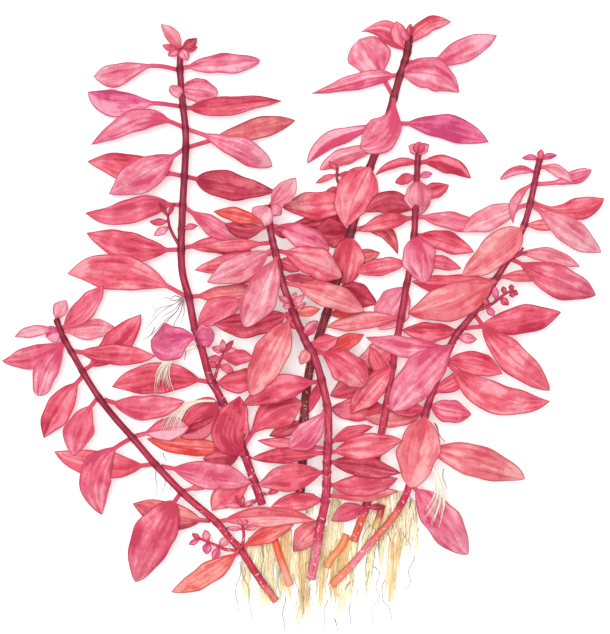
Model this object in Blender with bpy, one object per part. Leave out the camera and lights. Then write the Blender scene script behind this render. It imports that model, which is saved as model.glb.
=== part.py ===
"""Super red ludwigia palustris: a picked bunch of six leafy shoots with their roots.

The bunch lies on a surface with its upper side facing +Z, tips towards +Y and roots towards -Y.
Places in the tables are millimetres on the sheet that the bunch lies on: x to the right and y
towards the tips, from the sheet's lower left corner.
"""

import math

import bmesh
import bpy
import numpy as np

MM = 0.001
MIDDLE_X, MIDDLE_Y = 100.85, 103.23     # the point of the sheet that becomes the origin
LEAF_THICKNESS = 0.55
GAP = 0.3                               # between a leaf's foot and its stem
CLEARANCE = 1.25                        # between the middles of leaves that lie on each other
SHARP_TIP, BELLY = 0.95, 0.45           # shape of a blade: how sharp, and where it is widest
STALK_SHARE = 0.5                       # the blade starts to widen at this share of the stalk
OWN_LEAF_AREA = 223.0                   # length by width above which a leaf is a piece of its own
TUFT_BELLY = 0.85                       # where a tuft of aerial roots is widest
STALK_WIDTH = 0.75, 0.12, 0.2           # half width of a stalk: at most, and by its blade's width
STALK_TIP = 0.12                        # share of the length over which the least width fades to the tip
ROLL, CUP = 0.3, (0.05, 0.1)            # how much a blade tilts sideways, and how its edges turn up
STEM_STEP, TWIG_COUNT = 6.5, 5          # length of a stem solid's straight runs, points along a twig's
TWIG_RISE, TWIG_RADIUS, TWIG_TAPER = 1.5, 0.6, 0.3
ALONG_STEM = 0.8                        # a leaf that runs this much along its stem lies over or under it
SUNK, UNDER_FOOT, SMALL_LIFT = 0.55, 0.3, 0.2
FOOT_AHEAD = 0.1, 0.6                   # extra room before an own leaf's foot: always, and by its slant
FOOT_SPREAD, FOOT_STEP, FOOT_TURN = 0.35, 1.2, 1.4  # how a leaf's rank moves its foot on its stem's side
LOWEST_FOOT = 0.7
SETTLE_TURNS, FLOOR_GAP, PINNED_TIP = 1500, 0.15, 0.05
STEM_ROOM, EDGE_ROOM = 0.75, 0.7        # between a stem and a blade's middle, and beside a blade's edge
NEAR_OWN_FOOT, NEAR_SMALL_FOOT = 0.16, 0.4          # leaves may meet this near to their feet
# route of each stem from its tip to its cut end, its radius at both ends, its height above the
# surface at the tip, the middle and the cut end, and its rank: a higher rank lies nearer the viewer
STEMS = {
    "tall": ([(60.2, 195), (60, 188), (61, 176), (61.8, 169), (62, 162), (61.5, 152), (61, 143),
        (60.5, 128), (61, 120), (63, 112.3), (64.8, 103), (67, 96.4), (69.8, 86), (71.3, 83),
        (75, 75.5), (80.7, 62), (83.6, 54), (87.4, 43.2)],
        (1.1, 1.4), (9, 16, 9), 5.5),
    "front": ([(89.5, 142.5), (90, 136.5), (91, 130.5), (92.3, 125.3), (94.3, 116.8), (98, 107),
        (101.7, 98), (105, 91.8), (107.4, 83.8), (109.2, 75), (109.4, 66.3), (109, 58),
        (108.6, 46), (106.7, 36), (105.5, 28), (103.7, 18.5)],
        (1.1, 1.5), (27, 29, 9), 9.1),
    "back": ([(136.5, 201), (136, 195), (134.8, 190.5), (133, 185), (131.2, 178.5), (127, 165),
        (123.5, 156), (120.6, 146), (117, 134), (111.5, 115), (106, 98), (103.2, 88),
        (101.5, 74), (100.9, 59), (100, 46.5), (100.4, 42.3)],
        (1.2, 1.6), (7, 6.5, 7), 2.7),
    "middle": ([(139.5, 160.5), (139.2, 157.5), (138.9, 151.5), (138.3, 139), (138, 133.3),
        (136.2, 119.8), (135.3, 115.5), (133.6, 105), (131.8, 96), (130.6, 88), (128.9, 76.8),
        (127.1, 66.8), (124.8, 54), (122.2, 43), (117.9, 31)],
        (1, 1.4), (12, 14, 8.6), 4.8),
    "right": ([(180, 158.5), (178.6, 152.5), (177, 145), (175, 137.5), (172.6, 131.5), (169.3, 125),
        (165.6, 119), (162, 112.8), (157.8, 107), (151.5, 99), (148.4, 92), (145.8, 85.5),
        (142.6, 76.5), (139.5, 64), (136.4, 50), (133.2, 42.5), (128.5, 36), (123, 29.8),
        (117, 22.8), (110.6, 16.4)],
        (1, 1.3), (10, 19, 8.6), 6.5),
    "left": ([(18.7, 105), (20.8, 99.5), (23.6, 94.5), (27.6, 87.5), (33, 79), (38.5, 72),
        (44.5, 65.3), (52, 56.5), (60.5, 47.6), (66.5, 42.3), (72, 37.6), (77, 31.6),
        (80.3, 28.1), (85, 20.7), (89, 15), (92, 11)],
        (1, 1.3), (9, 15, 8.6), 7.3),
}
# thin side twigs: the stem they grow from, and their route outwards
TWIGS = [
    ("tall", [(59.8, 129.5), (56.9, 135), (56, 140)]),
    ("tall", [(71.4, 84.6), (72.6, 88.5), (73.8, 92), (75, 95)]),
    ("tall", [(86.4, 45.6), (83.5, 43), (80, 42.4)]),
    ("tall", [(86.2, 46.6), (90.4, 46.8)]),
    ("back", [(119.2, 141), (115.4, 146), (112.4, 151.5), (112.6, 155.6)]),
    ("right", [(158.2, 107.6), (162, 109), (165, 110.9), (168, 113.3), (171, 114.8)]),
    ("right", [(169.4, 125.2), (172.3, 126.1), (174.1, 128.7)]),
    ("right", [(172.3, 126.1), (175.4, 127.2)]),
    ("left", [(80.4, 28.4), (81.3, 32.5), (80.8, 37)]),
    ("left", [(79.8, 28), (75.5, 28.2), (72, 29.7), (68.4, 31.2), (65.8, 32.3)]),
]
# leaves of each shoot: foot x, y, tip x, y, width, sideways bend, share of leaf stalk, rank, tone, and
# for a blunt leaf its sharpness
LEAVES = {
    "tall": [
        (60, 188, 31, 186.2, 7.8, -0.9, 0.35, 5, "pink"),
        (60.5, 188.5, 86.7, 191.3, 6.6, 0, 0.18, 5, "pink", 0.6),
        (61.5, 168.8, 30.2, 163.1, 7.2, -4.4, 0.2, 6.6, "pink"),
        (61.8, 175.5, 94, 177.8, 6.4, -0.3, 0.1, 5, "crimson"),
        (61, 175.6, 29, 181, 9.2, 2, 0.35, 5.4, "magenta"),
        (61.7, 168.6, 90.7, 156, 8, 0.7, 0.15, 6.2, "pink", 0.8),
        (61.8, 162, 36.3, 146.8, 11, 0.6, 0.15, 6.5, "pink"),
        (62, 162, 98.4, 171.4, 7.4, 0.3, 0.33, 4.6, "brown"),
        (61.3, 152.5, 29, 157.6, 9, -0.3, 0.15, 5, "crimson"),
        (61.7, 152.3, 92, 147.5, 9.2, -0.6, 0.17, 5, "dark"),
        (61, 143, 28.3, 140.3, 8.4, 0.6, 0.15, 5, "rose"),
        (61.5, 142.7, 79.8, 131.1, 6.4, -0.4, 0.12, 5, "pink"),
        (60.5, 128, 28.7, 133.8, 9.5, 1.9, 0.15, 5.2, "crimson"),
        (61, 128.5, 84, 127.5, 6, 1.5, 0.15, 4.8, "crimson"),
        (62.5, 112.3, 22.3, 120.1, 12, -3.7, 0.22, 6, "coral"),
        (63.5, 112.3, 88, 115, 6, -0.2, 0.15, 4.8, "salmon"),
        (65.7, 102, 81, 111, 9, 1, 0.1, 6, "rose"), (66.5, 99, 50.3, 98.5, 12, 0.3, 0.02, 7, "magenta"),
        (62.5, 98, 71.3, 99.2, 5.5, 0, 0.02, 6.7, "pale"),
        (69.7, 83.7, 37.2, 82.3, 10.5, -2.2, 0.1, 5.2, "crimson"),
        (71.8, 84, 89, 86, 8, -0.5, 0.1, 4.8, "crimson"),
        (74.8, 75.3, 59.5, 66, 6, 2, 0.2, 5.3, "dark"),
        (73.8, 76.5, 59.5, 66.5, 9, -1.5, 0.1, 4.6, "crimson"),
        (79.5, 62.5, 48.8, 65, 6.6, 1.4, 0.2, 5, "orange"),
        (81.6, 62.5, 79.7, 79.2, 13.6, 5, 0.05, 7, "crimson", 1.4),
        (81.2, 61, 67.7, 58.4, 7.5, 0.5, 0.1, 6.6, "dark"),
        (81.8, 63, 101, 76.8, 11.3, 2.8, 0.12, 5.3, "crimson"),
        (84.4, 51, 70.7, 41, 9.5, -1.8, 0.1, 5.2, "coral"),
        (60.3, 195.2, 53.6, 203.4, 4.6, -0.5, 0.05, 5.8, "pale"),
        (60.2, 195.3, 54, 196.5, 2.6, 0.4, 0.05, 5.4, "rose"),
        (60.2, 195.5, 65.6, 198.8, 3.4, -0.4, 0.05, 5.7, "dark"),
        (60.2, 195, 65.8, 195.6, 3, 0, 0.05, 5.3, "crimson"),
        (60.2, 194.8, 56, 192.8, 3.2, 0, 0.05, 6, "pink"),
        (60.2, 194.8, 62.6, 191.2, 3.6, 0, 0.05, 6.1, "pink"),
        (60.5, 181.8, 72.6, 180.3, 8, 0, 0.02, 6.2, "pink", 0.55),
        (61, 179.4, 56.6, 182.6, 4, 0, 0.02, 6.1, "pale", 0.55),
        (56, 140, 53.2, 143.6, 1.6, 0, 0.05, 5.3, "dark"),
        (56, 140, 58.3, 143.8, 1.6, 0, 0.05, 5.3, "dark"),
        (56.4, 137.5, 50, 137.4, 2.6, 0.3, 0.1, 5.3, "crimson"),
        (56.6, 135.5, 51.4, 132.8, 2.8, 0, 0.1, 5.5, "pink"),
        (61.6, 134.5, 66, 136, 2.2, 0.3, 0.1, 5.4, "pink"),
        (75, 95, 77.9, 97.9, 2, 0, 0.05, 5.5, "dark"),
        (74.9, 95, 74.2, 98.3, 2.2, 0, 0.05, 5.6, "pale"),
        (74.6, 94.6, 70.7, 95.6, 2.6, 0, 0.05, 5.4, "pale"),
        (75.2, 94.8, 79, 95, 2, 0, 0.05, 5.3, "pink"),
        (73.8, 92, 69.4, 92.2, 2.6, 0.4, 0.05, 5.5, "rose"),
        (74, 92, 84.5, 92, 5.6, 0.3, 0.05, 5.2, "rose"),
        (72.8, 89.2, 78, 87.3, 3, 0.3, 0.05, 5.5, "rose"),
        (72.6, 89.2, 69.8, 90.6, 2.2, 0, 0.05, 5.6, "crimson"),
        (80, 42.4, 74.4, 43, 2, 0, 0.05, 5.3, "pale"),
        (79.9, 42.5, 78.4, 46.2, 1.8, 0, 0.05, 5.5, "crimson"),
        (80.1, 42.5, 81, 46.1, 1.6, 0, 0.05, 5.6, "crimson"),
        (80.6, 42.5, 84.4, 44.9, 1.6, -0.3, 0.05, 5.4, "pink"),
        (90.4, 46.8, 93.7, 49.2, 2.6, 0, 0.05, 5.5, "crimson"),
        (67.3, 96.5, 54.8, 79.5, 8, -5, 0.1, 6.4, "tuft"),
        (73.6, 77.4, 56.5, 65.4, 8, -5, 0.1, 6.9, "tuft"),
    ],
    "front": [
        (90, 142, 98.6, 151.8, 7, -0.5, 0.1, 9.4, "pale"),
        (89.3, 142.3, 85.5, 135.5, 8, 0, 0.05, 9.6, "pale"),
        (89.5, 136.3, 71.3, 140.6, 5, -0.5, 0.2, 9, "orange"),
        (89.8, 136, 75, 136.6, 5.5, 2, 0.2, 8.4, "dark"),
        (90.5, 136.2, 109.7, 127.8, 8, 0.8, 0.12, 9.2, "pink", 0.78),
        (91, 130.5, 68, 129.2, 4.5, 0.4, 0.2, 8.6, "coral"),
        (91.3, 128.5, 69.2, 117.3, 9, 0.8, 0.12, 9.3, "pale"),
        (91.9, 128, 113.9, 118.7, 10, 1, 0.1, 9.4, "coral", 0.82),
        (91.5, 127, 65, 121.2, 6, 0, 0.2, 8.2, "coral"),
        (92.3, 125.5, 81.6, 102.3, 11, 0.5, 0.1, 9.6, "pale", 0.7),
        (94.2, 117, 121.2, 107.5, 8.5, 1, 0.22, 9.5, "salmon", 0.82),
        (92.9, 122.3, 75, 117.1, 4.2, 0, 0.2, 7.6, "dark"),
        (97.8, 107.5, 83.5, 79.7, 11.3, 0, 0.1, 9.6, "salmon", 0.7),
        (98, 107.3, 71.3, 103.5, 9, 1.8, 0.05, 7.8, "dark"),
        (103, 95.8, 121.4, 82.7, 11, 1.5, 0.08, 9.4, "coral", 0.75),
        (102, 96.5, 112.5, 99, 6, -1, 0.1, 7.8, "crimson"),
        (107, 84.5, 81, 76.5, 9, -1.5, 0.1, 7.5, "crimson"),
        (108.9, 76.3, 96.2, 62.3, 8.6, 1.5, 0.1, 8.3, "pink"),
        (109.1, 63.5, 124.3, 69.3, 4.5, 0.8, 0.1, 7.6, "crimson"),
        (109.2, 60.5, 134, 64.7, 8.5, 0.2, 0.12, 8.3, "coral"),
        (109, 60.6, 83.6, 58.6, 5.5, -0.4, 0.1, 7.4, "crimson"),
        (109, 62, 85.8, 64.7, 4, 0, 0.2, 7.2, "crimson"),
        (108.8, 54.3, 86, 49.8, 9, -0.5, 0.1, 8.3, "coral"),
        (109, 57.8, 133.5, 53.8, 7, 0.3, 0.05, 7.7, "dark"),
        (108.7, 50, 132.5, 52, 7.5, -1.2, 0.08, 7.4, "crimson"),
        (108.7, 46.2, 133, 47.8, 4.8, -0.2, 0.12, 7.1, "salmon"),
        (107, 38, 97.7, 27.7, 8, 0, 0.05, 6.5, "salmon"),
        (108, 45, 90.3, 42.5, 6, -0.6, 0.05, 6.3, "coral"),
        (90.6, 134.8, 97.3, 131.8, 3.6, 0.4, 0.05, 8.5, "dark"),
        (92.8, 124.5, 99.6, 120.8, 5, 0.3, 0.05, 8.3, "dark"),
        (94, 118.8, 105.6, 118.2, 3, 0, 0.05, 8.4, "dark"),
        (97, 110, 101.6, 113.4, 2.2, -0.3, 0.05, 9.4, "pale"),
        (98, 108, 102.2, 110.2, 2.2, 0.3, 0.05, 9.5, "pale"),
        (89.8, 142.2, 93.6, 139.4, 4.2, 0.4, 0.05, 9.5, "pink", 0.7),
        (98, 110.5, 93, 112.7, 2.4, 0.2, 0.05, 9.3, "pale"),
        (98, 109.6, 94.3, 109.3, 2.2, 0, 0.05, 9.2, "pink"),
        (98, 111, 98.8, 113.9, 2, 0, 0.05, 9.3, "pale"),
        (101, 98.7, 106, 104.3, 4, 0.4, 0.05, 8.2, "pink"),
        (99.7, 101.3, 95.3, 106, 4, -0.3, 0.05, 7.6, "dark"),
        (99.7, 107.3, 106.7, 108.3, 3.5, 0, 0.05, 7.8, "orange"),
        (103, 96.3, 100, 90, 4, 0.3, 0.05, 8.6, "salmon"),
        (105.3, 94, 121.3, 100, 6, -0.5, 0.1, 7.5, "orange"),
        (108, 85.3, 103, 74, 3.4, 0, 0.05, 7.2, "crimson"),
    ],
    "back": [
        (135.2, 194, 120.3, 201.1, 8, -3.6, 0.05, 2.5, "rose", 1.3),
        (135.3, 194.5, 132, 204.5, 6, 0.5, 0.1, 2.6, "rose"),
        (136.5, 196, 150.4, 204.3, 5.6, 2.8, 0.1, 2.5, "coral", 0.8),
        (131, 179.3, 119.9, 198.7, 14.2, 0, 0.6, 2.2, "pink", 0.6),
        (133.2, 186.3, 103.8, 180.4, 5.5, -0.7, 0.15, 2.4, "pink"),
        (134, 186.8, 153.1, 180.7, 10.8, 2.7, 0.02, 3.2, "pink", 0.9),
        (134.8, 190.5, 165.9, 200, 8, -2.2, 0.5, 2.2, "pink", 0.9),
        (131.3, 178.5, 119.9, 162.4, 12, 3.9, 0.05, 3.4, "pink", 0.8),
        (129, 171, 102.4, 157, 5.7, -2.7, 0.15, 2.4, "pink", 0.8),
        (129, 170.2, 163.1, 164.2, 8.8, 2, 0.25, 2.4, "magenta"),
        (126, 161.5, 106.5, 154.8, 5.6, -1.5, 0.1, 2.3, "pale", 0.7),
        (123.4, 155.5, 115, 135.7, 13.6, -1, 0.05, 3.4, "coral", 0.82),
        (120, 144, 94, 142.3, 9.5, 0, 0.05, 2.4, "coral"),
        (119, 141, 96.5, 136.3, 6, 0.5, 0.05, 1.8, "dark"),
        (116.6, 134, 104.3, 133.6, 9.5, 0, 0.05, 2.3, "dark"),
        (117.6, 134.5, 132.6, 126.6, 4.8, 4.6, 0.15, 2.6, "brown"),
        (116.6, 132.5, 115.3, 116, 10.5, 0, 0.05, 3.6, "coral", 0.75),
        (114.5, 124, 126.7, 127.2, 5, 0, 0.1, 2.2, "brown"),
        (111.5, 115.5, 125.6, 110, 8, 0.5, 0.05, 2.2, "dark"),
        (136.2, 197.5, 133.9, 201.6, 2.6, 0, 0.05, 2.8, "magenta"),
        (136.3, 199, 136.9, 203.6, 2.4, 0, 0.05, 2.9, "crimson"),
        (112.3, 153, 105.2, 150.2, 2.2, -0.4, 0.05, 2.6, "coral"),
        (112.4, 152.9, 118.6, 153.9, 2.4, -0.3, 0.05, 2.6, "crimson"),
        (112.6, 155.6, 109.6, 157.7, 1.8, 0, 0.05, 2.6, "crimson"),
        (113.5, 148.4, 107.9, 147, 4, 0.4, 0.05, 2.2, "rose"),
        (109.7, 106.3, 120.3, 107.3, 3.6, 0, 0.05, 2.2, "orange"),
        (101.3, 71.3, 89.7, 66, 4.6, 0.4, 0.05, 2.2, "dark"),
        (114, 120.7, 107.3, 117, 4, 0, 0.05, 2.2, "coral"),
    ],
    "middle": [
        (138.6, 157.3, 125.1, 152.9, 3.1, -1.8, 0, 4.6, "crimson", 0.8),
        (139.6, 156.8, 157, 151.9, 5.9, 2.2, 0.1, 4.5, "crimson"),
        (139, 151, 140, 139.7, 9, 0, 0.05, 5.6, "pale", 0.7),
        (138.9, 152.3, 131.7, 150.3, 3.8, -0.3, 0.1, 4.7, "crimson"),
        (139.2, 152.3, 144.1, 153.4, 2.4, 0, 0.1, 4.7, "magenta"),
        (139, 147, 149.6, 149.7, 5.5, -0.8, 0.05, 4.2, "crimson"),
        (138.5, 141, 121.7, 140.6, 8, -2.8, 0.03, 4.3, "dark"),
        (138.4, 139.2, 163.3, 134.7, 6, 0.6, 0.12, 4.6, "pink"),
        (138, 138.6, 119.5, 134.3, 5.5, -0.8, 0.1, 4.7, "coral"),
        (138, 133.2, 158, 127.3, 7, 0.6, 0.1, 4.4, "crimson"),
        (138.2, 132.5, 141.6, 116.9, 11, 0, 0.08, 5.8, "pink", 0.75),
        (137, 125, 153.7, 121.8, 5, 0.5, 0.1, 4.2, "rose"),
        (136.3, 123.5, 118.5, 120.5, 6, -0.5, 0.1, 4.6, "coral"),
        (135.6, 116.5, 126.3, 101.3, 12, 0, 0.1, 5.6, "pink"),
        (133.7, 105.5, 108.8, 102.3, 6, -0.5, 0.1, 4.3, "salmon"),
        (132, 97, 118.5, 90.5, 8, 1, 0.05, 4, "coral"),
        (130.7, 89, 117, 73.4, 8.5, -0.5, 0.08, 5.5, "coral"),
        (130.8, 90, 110, 79.5, 10, 0.5, 0.05, 3.9, "crimson"),
        (128.8, 76, 110, 75, 8.5, 0.5, 0.05, 4.1, "crimson"),
        (122, 42.8, 110.6, 37.8, 6, -0.5, 0.08, 6, "rose"),
        (139.4, 159.5, 136, 162.7, 3.6, -0.6, 0.05, 4.9, "pink"),
        (139.5, 159.5, 143, 163, 3.8, 0.6, 0.05, 4.9, "pink"),
        (139.5, 159.8, 139.7, 164, 4, 0, 0.05, 5.2, "rose", 0.7),
        (122.2, 42.2, 128.6, 42.6, 2.2, 0, 0.05, 5, "dark"),
        (130.3, 83, 123.3, 96, 5.2, 0.5, 0.05, 4.1, "coral"),
    ],
    "right": [
        (178.8, 153.8, 166.7, 151.4, 3.1, -1.9, 0.1, 6.3, "pink", 0.7),
        (179.3, 155.6, 190.8, 150.2, 3.9, 1.6, 0.1, 6.8, "pale"),
        (178.3, 150.1, 197.4, 154.9, 4.7, -1.3, 0.2, 6.1, "pink"),
        (178, 150.2, 170.8, 136.6, 3.2, -2.7, 0.1, 6.9, "pale"),
        (176.6, 143.3, 154, 134, 8, -0.9, 0.2, 6.3, "pale"),
        (176.9, 143.2, 200.8, 127.3, 8.7, -0.3, 0.1, 6.7, "pale", 0.9),
        (177.2, 144.2, 201.4, 145.2, 7.4, -3.5, 0.3, 6, "coral"),
        (174.8, 136.2, 188, 136.4, 4, 0, 0.1, 5.9, "salmon"),
        (174.3, 135.7, 153.8, 119.3, 11, 0.6, 0.1, 6.6, "salmon", 0.85),
        (170, 126.6, 193.3, 122.4, 5.2, 1.6, 0.2, 6.2, "pale"),
        (170, 124.8, 199, 113, 11, -0.7, 0.1, 6.55, "rose"),
        (165.8, 118.8, 182, 119.6, 4, 0, 0.1, 6, "salmon"),
        (165.3, 118.8, 137.2, 117.6, 7.5, 1.8, 0.1, 5.7, "coral"),
        (164.5, 118, 136, 107, 12, 1.6, 0.08, 6.6, "salmon", 0.82),
        (157.5, 106.8, 183.2, 81.2, 9.9, -1.1, 0.15, 6.8, "coral", 0.8),
        (154, 101.5, 187, 107.3, 9.5, -0.5, 0.2, 6.3, "crimson"),
        (153, 101, 133.7, 101.2, 6.5, 0.4, 0.05, 6.1, "crimson"),
        (151.5, 99.3, 158.8, 98.2, 3.5, 0, 0.1, 6.1, "pink"),
        (149.8, 96, 121.8, 99, 6.8, 1.8, 0.1, 6.3, "pink"),
        (148.8, 97, 130.3, 74.5, 13, -0.8, 0.05, 7, "pink", 0.72),
        (148.3, 91.3, 167.3, 86.8, 8, 1.2, 0.08, 6, "crimson"),
        (148.3, 91, 183.3, 77.6, 10.6, -5.2, 0.1, 6.8, "coral"),
        (144.5, 80, 160, 87.5, 6, 0.5, 0.08, 5.7, "crimson"),
        (143, 76.8, 157, 73.3, 8, -0.7, 0.05, 6.4, "rose"),
        (141.6, 73.8, 120.8, 72.6, 5.8, 1.5, 0.08, 4.3, "salmon"),
        (142.2, 75.5, 128, 76.3, 5.5, 0.6, 0.05, 5.6, "crimson"),
        (141.6, 72.5, 137, 48.7, 13.5, 0, 0.05, 7, "salmon", 0.65),
        (139.5, 62, 175.3, 51.5, 10.8, 1.4, 0.15, 6.4, "salmon", 0.8),
        (137.3, 50.5, 156.3, 26.2, 12, 0.1, 0.05, 6.6, "pink", 0.85),
        (179.9, 157.9, 174, 158.5, 2.1, -0.6, 0.05, 6.6, "magenta", 0.8),
        (180.1, 157.9, 185.7, 159.4, 2.2, 0.5, 0.05, 6.6, "magenta", 0.8),
        (180, 158, 180.4, 161.6, 2.4, 0, 0.05, 6.9, "crimson"),
        (162, 109, 164.6, 106, 2.6, 0, 0.05, 6.6, "magenta"),
        (163, 109.6, 160.4, 111.6, 2.2, 0, 0.05, 6.7, "dark"),
        (165, 111, 164.5, 116, 2.4, 0, 0.05, 6.6, "magenta"),
        (166.4, 112, 169.3, 109.7, 2.6, 0, 0.05, 6.6, "crimson"),
        (168, 113.3, 167.4, 115.8, 2, 0, 0.05, 6.7, "dark"),
        (169.6, 114.2, 171, 112.2, 2, 0, 0.05, 6.7, "dark"),
        (171, 114.8, 172.5, 113.1, 2, 0, 0.05, 6.6, "dark"),
        (170, 114.4, 170.2, 116.4, 2, 0, 0.05, 6.8, "dark"),
        (139.8, 62.5, 142.6, 36.5, 5, 4.5, 0.1, 6.8, "tuft"),
    ],
    "left": [
        (18.7, 104.3, 22, 111.2, 5, 0.5, 0.1, 7.2, "pale"),
        (21.3, 101.8, 34.5, 116.2, 7.6, -0.8, 0.08, 7, "rose"),
        (20.2, 101, 4.7, 99, 4, -1.2, 0.2, 7, "pale"), (20.2, 101, 15.3, 99, 6, 0, 0, 7.3, "magenta"),
        (21, 101.3, 38.5, 102, 7, 0, 0.15, 6.6, "pale"), (21, 97.6, 0.3, 91, 7.6, 1.9, 0.12, 7, "rose"),
        (21.5, 97.3, 12.7, 79.3, 8, -1.2, 0.1, 7.6, "pink", 0.55),
        (27.4, 87.5, 47, 106.7, 9, -1.2, 0.1, 7.2, "crimson"),
        (23.8, 94.3, 52, 92.6, 7, -0.4, 0.15, 7.4, "crimson"),
        (28, 86.8, 14.5, 65.3, 9, -0.9, 0.15, 7.4, "crimson"),
        (32.5, 78.7, 24.7, 59.3, 9.5, -1.8, 0.26, 7.4, "rose"),
        (33.8, 78.3, 61.7, 77.7, 8.5, -2.1, 0.1, 7.2, "rose"),
        (44, 65.3, 33.9, 39.7, 11, -6.3, 0.25, 7.6, "rose"),
        (44.6, 66, 63, 69, 8, 0.5, 0.35, 5.4, "pink"),
        (51.7, 56.5, 18, 60.8, 9.5, 2.2, 0.1, 7, "coral"),
        (52.5, 56.5, 84, 50.5, 9.5, 0, 0.15, 7.4, "pink"),
        (60.3, 47.5, 44.9, 17, 13.8, -1.2, 0.12, 7.8, "rose", 0.78),
        (60.9, 48.2, 72, 52, 3.5, -0.4, 0.3, 6.8, "rose"),
        (71.5, 37.2, 44.2, 43.4, 9.5, 1, 0.1, 6.9, "brown"),
        (72.5, 37.5, 105, 38, 6.8, 1.6, 0.1, 6.9, "salmon"),
        (79.8, 27.6, 57, 13.8, 7.4, 1, 0.1, 7.2, "orange"),
        (81, 28.9, 98, 36.4, 5.5, 0.6, 0.1, 6.6, "orange"),
        (81.1, 35.2, 75.3, 35.5, 1.8, 0, 0.05, 7.3, "pink"),
        (81.1, 35, 86.3, 36, 2, 0, 0.05, 7.3, "pink"),
        (80.8, 37, 78.8, 38.8, 1.7, 0, 0.05, 7.4, "pink"),
        (80.8, 37, 82.6, 38.5, 1.7, 0, 0.05, 7.4, "pink"),
        (65.8, 32.3, 64.1, 33.6, 1.9, 0, 0.05, 7.5, "crimson"),
        (66.3, 31.7, 63, 29.9, 2, 0, 0.05, 7.4, "magenta"),
        (69.5, 31, 68.3, 34.8, 2.8, 0, 0.05, 7.3, "pink"),
        (69.3, 30.7, 68.8, 26.7, 3.2, 0, 0.05, 7.5, "magenta"),
        (73, 29.3, 76.2, 32.3, 3, 0, 0.05, 7.3, "pale"),
        (73.2, 29.1, 71.1, 24.6, 2.8, 0, 0.05, 7.5, "magenta"),
    ],
}
# where a blade is widest, as a share of its length, and how far it swings to the left and back, in mm;
# a widest place of 0 stands for the usual one
FORMS = {
    ("tall", 0): (0.73, -0.9), ("tall", 1): (0.55, 0.2), ("tall", 2): (0.48, -0.8),
    ("tall", 3): (0.42, -0.3), ("tall", 4): (0.7, -1.1), ("tall", 5): (0.66, 0),
    ("tall", 7): (0.64, 0), ("tall", 9): (0.42, 0), ("tall", 10): (0.48, -0.9),
    ("tall", 11): (0.6, 0), ("tall", 22): (0.35, 0), ("tall", 24): (0.3, 0),
    ("tall", 26): (0.66, 0),
    ("front", 4): (0.58, 0), ("front", 7): (0.55, 0), ("front", 9): (0.54, 0),
    ("front", 10): (0.54, 0), ("front", 12): (0.5, 0), ("front", 14): (0.6, 0),
    ("front", 17): (0.6, 0),
    ("back", 0): (0.36, 0), ("back", 3): (0.69, 0), ("back", 4): (0.38, -0.3),
    ("back", 5): (0.42, 0), ("back", 6): (0.6, -0.6), ("back", 7): (0.66, 0),
    ("back", 8): (0.62, 0.8), ("back", 11): (0.42, 0),
    ("middle", 0): (0.4, 0), ("middle", 1): (0.52, 0), ("middle", 10): (0.46, 0),
    ("right", 2): (0.72, 0), ("right", 5): (0.55, 0), ("right", 6): (0.66, 0),
    ("right", 8): (0.42, 0), ("right", 10): (0.58, 0), ("right", 14): (0.56, -0.3),
    ("right", 19): (0.52, 0), ("right", 21): (0.5, 0), ("right", 26): (0.46, 0),
    ("right", 28): (0.5, 0.3),
    ("left", 6): (0.6, 0), ("left", 16): (0.5, 0),
}
ROOT_TUFTS = [
    ([(84, 27), (82, 17), (83, 8), (84, 2.5)], 1.9), ([(88, 24), (87.5, 14), (88, 6.5)], 2.3),
    ([(93, 28), (92.8, 16), (94, 7), (95, 0.5)], 2.5), ([(99, 28), (98.4, 14), (100, 3)], 2.6),
    ([(104, 28), (104, 12), (102.5, 1)], 2.6), ([(109.5, 30), (109.5, 14), (107.8, 1.5)], 2.6),
    ([(115, 30), (115, 14), (112.7, 0.5)], 2.6), ([(120.5, 34), (120.5, 18), (117.5, 2.2)], 2.5),
    ([(126, 36), (125.8, 20), (124.3, 2)], 2.5), ([(131, 38), (131.2, 20), (130.3, 3.5)], 2.5),
    ([(136, 42), (136.5, 28), (134.8, 13)], 2.2),
]
ROOT_CROWN = [(83, 28), (92, 27), (102, 27), (112, 30), (122, 34), (132, 40), (138, 46)]
CROWN_RADIUS = 3.4
ROOT_HEIGHT, ROOT_TIP_HEIGHT = 3.2, 0.8         # half heights of a tuft at its crown and its tip
ROOT_TAPER = 0.45                               # width left at a tuft's tip
RESTING = [("tall", 4), ("tall", 0), ("back", 0), ("back", 6), ("left", 5), ("left", 16), ("right", 5),
           ("right", 10), ("right", 27), ("right", 28)]     # leaves whose tips touch the surface
# old stem ends among the roots: route and radius
BACK_STUBS = [
    ([(91.5, 32), (92.8, 27), (94.5, 22), (96.7, 16)], 1.2),
    ([(115.5, 33), (113.8, 29), (110, 24.5), (109, 22)], 1.2),
    ([(127.3, 42.7), (126.5, 39), (125, 35)], 1.2),
]
STUB_HEIGHTS = 5.4, 3.6
TINY = 5.75                              # leaves shorter than this are too small for a solid
SHORT = 13.5                            # leaves shorter than this have fewer sections
OWN_STATIONS, STATIONS, SHORT_STATIONS = (0.0, 0.16, 0.36, 0.58, 0.8), (0.0, 0.28, 0.62), (0.0, 0.45)
TUFT_STATIONS = (0.0, 0.45, 0.85)
SMALL_KEEL = 0.7                        # depth of a small leaf's midrib, as a share of a blade's thickness
TUBE_SIDES = 6
STRAND_COUNT, CROWN_COUNT, STUB_COUNT = 4, 7, 3
CROWN_TOP = 0.15                        # how much higher the crown is than its tufts
STEM_COLOUR, ROOT_COLOUR = (0.45, 0.03, 0.07), (0.82, 0.66, 0.36)
TONES = {
    "pale": (0.87, 0.27, 0.32), "pink": (0.85, 0.20, 0.29), "coral": (0.85, 0.18, 0.22),
    "rose": (0.82, 0.16, 0.23), "crimson": (0.77, 0.10, 0.16), "dark": (0.63, 0.07, 0.12),
    "orange": (0.82, 0.15, 0.14), "salmon": (0.86, 0.23, 0.25), "magenta": (0.82, 0.15, 0.31),
    "brown": (0.58, 0.12, 0.14),
}


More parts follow.
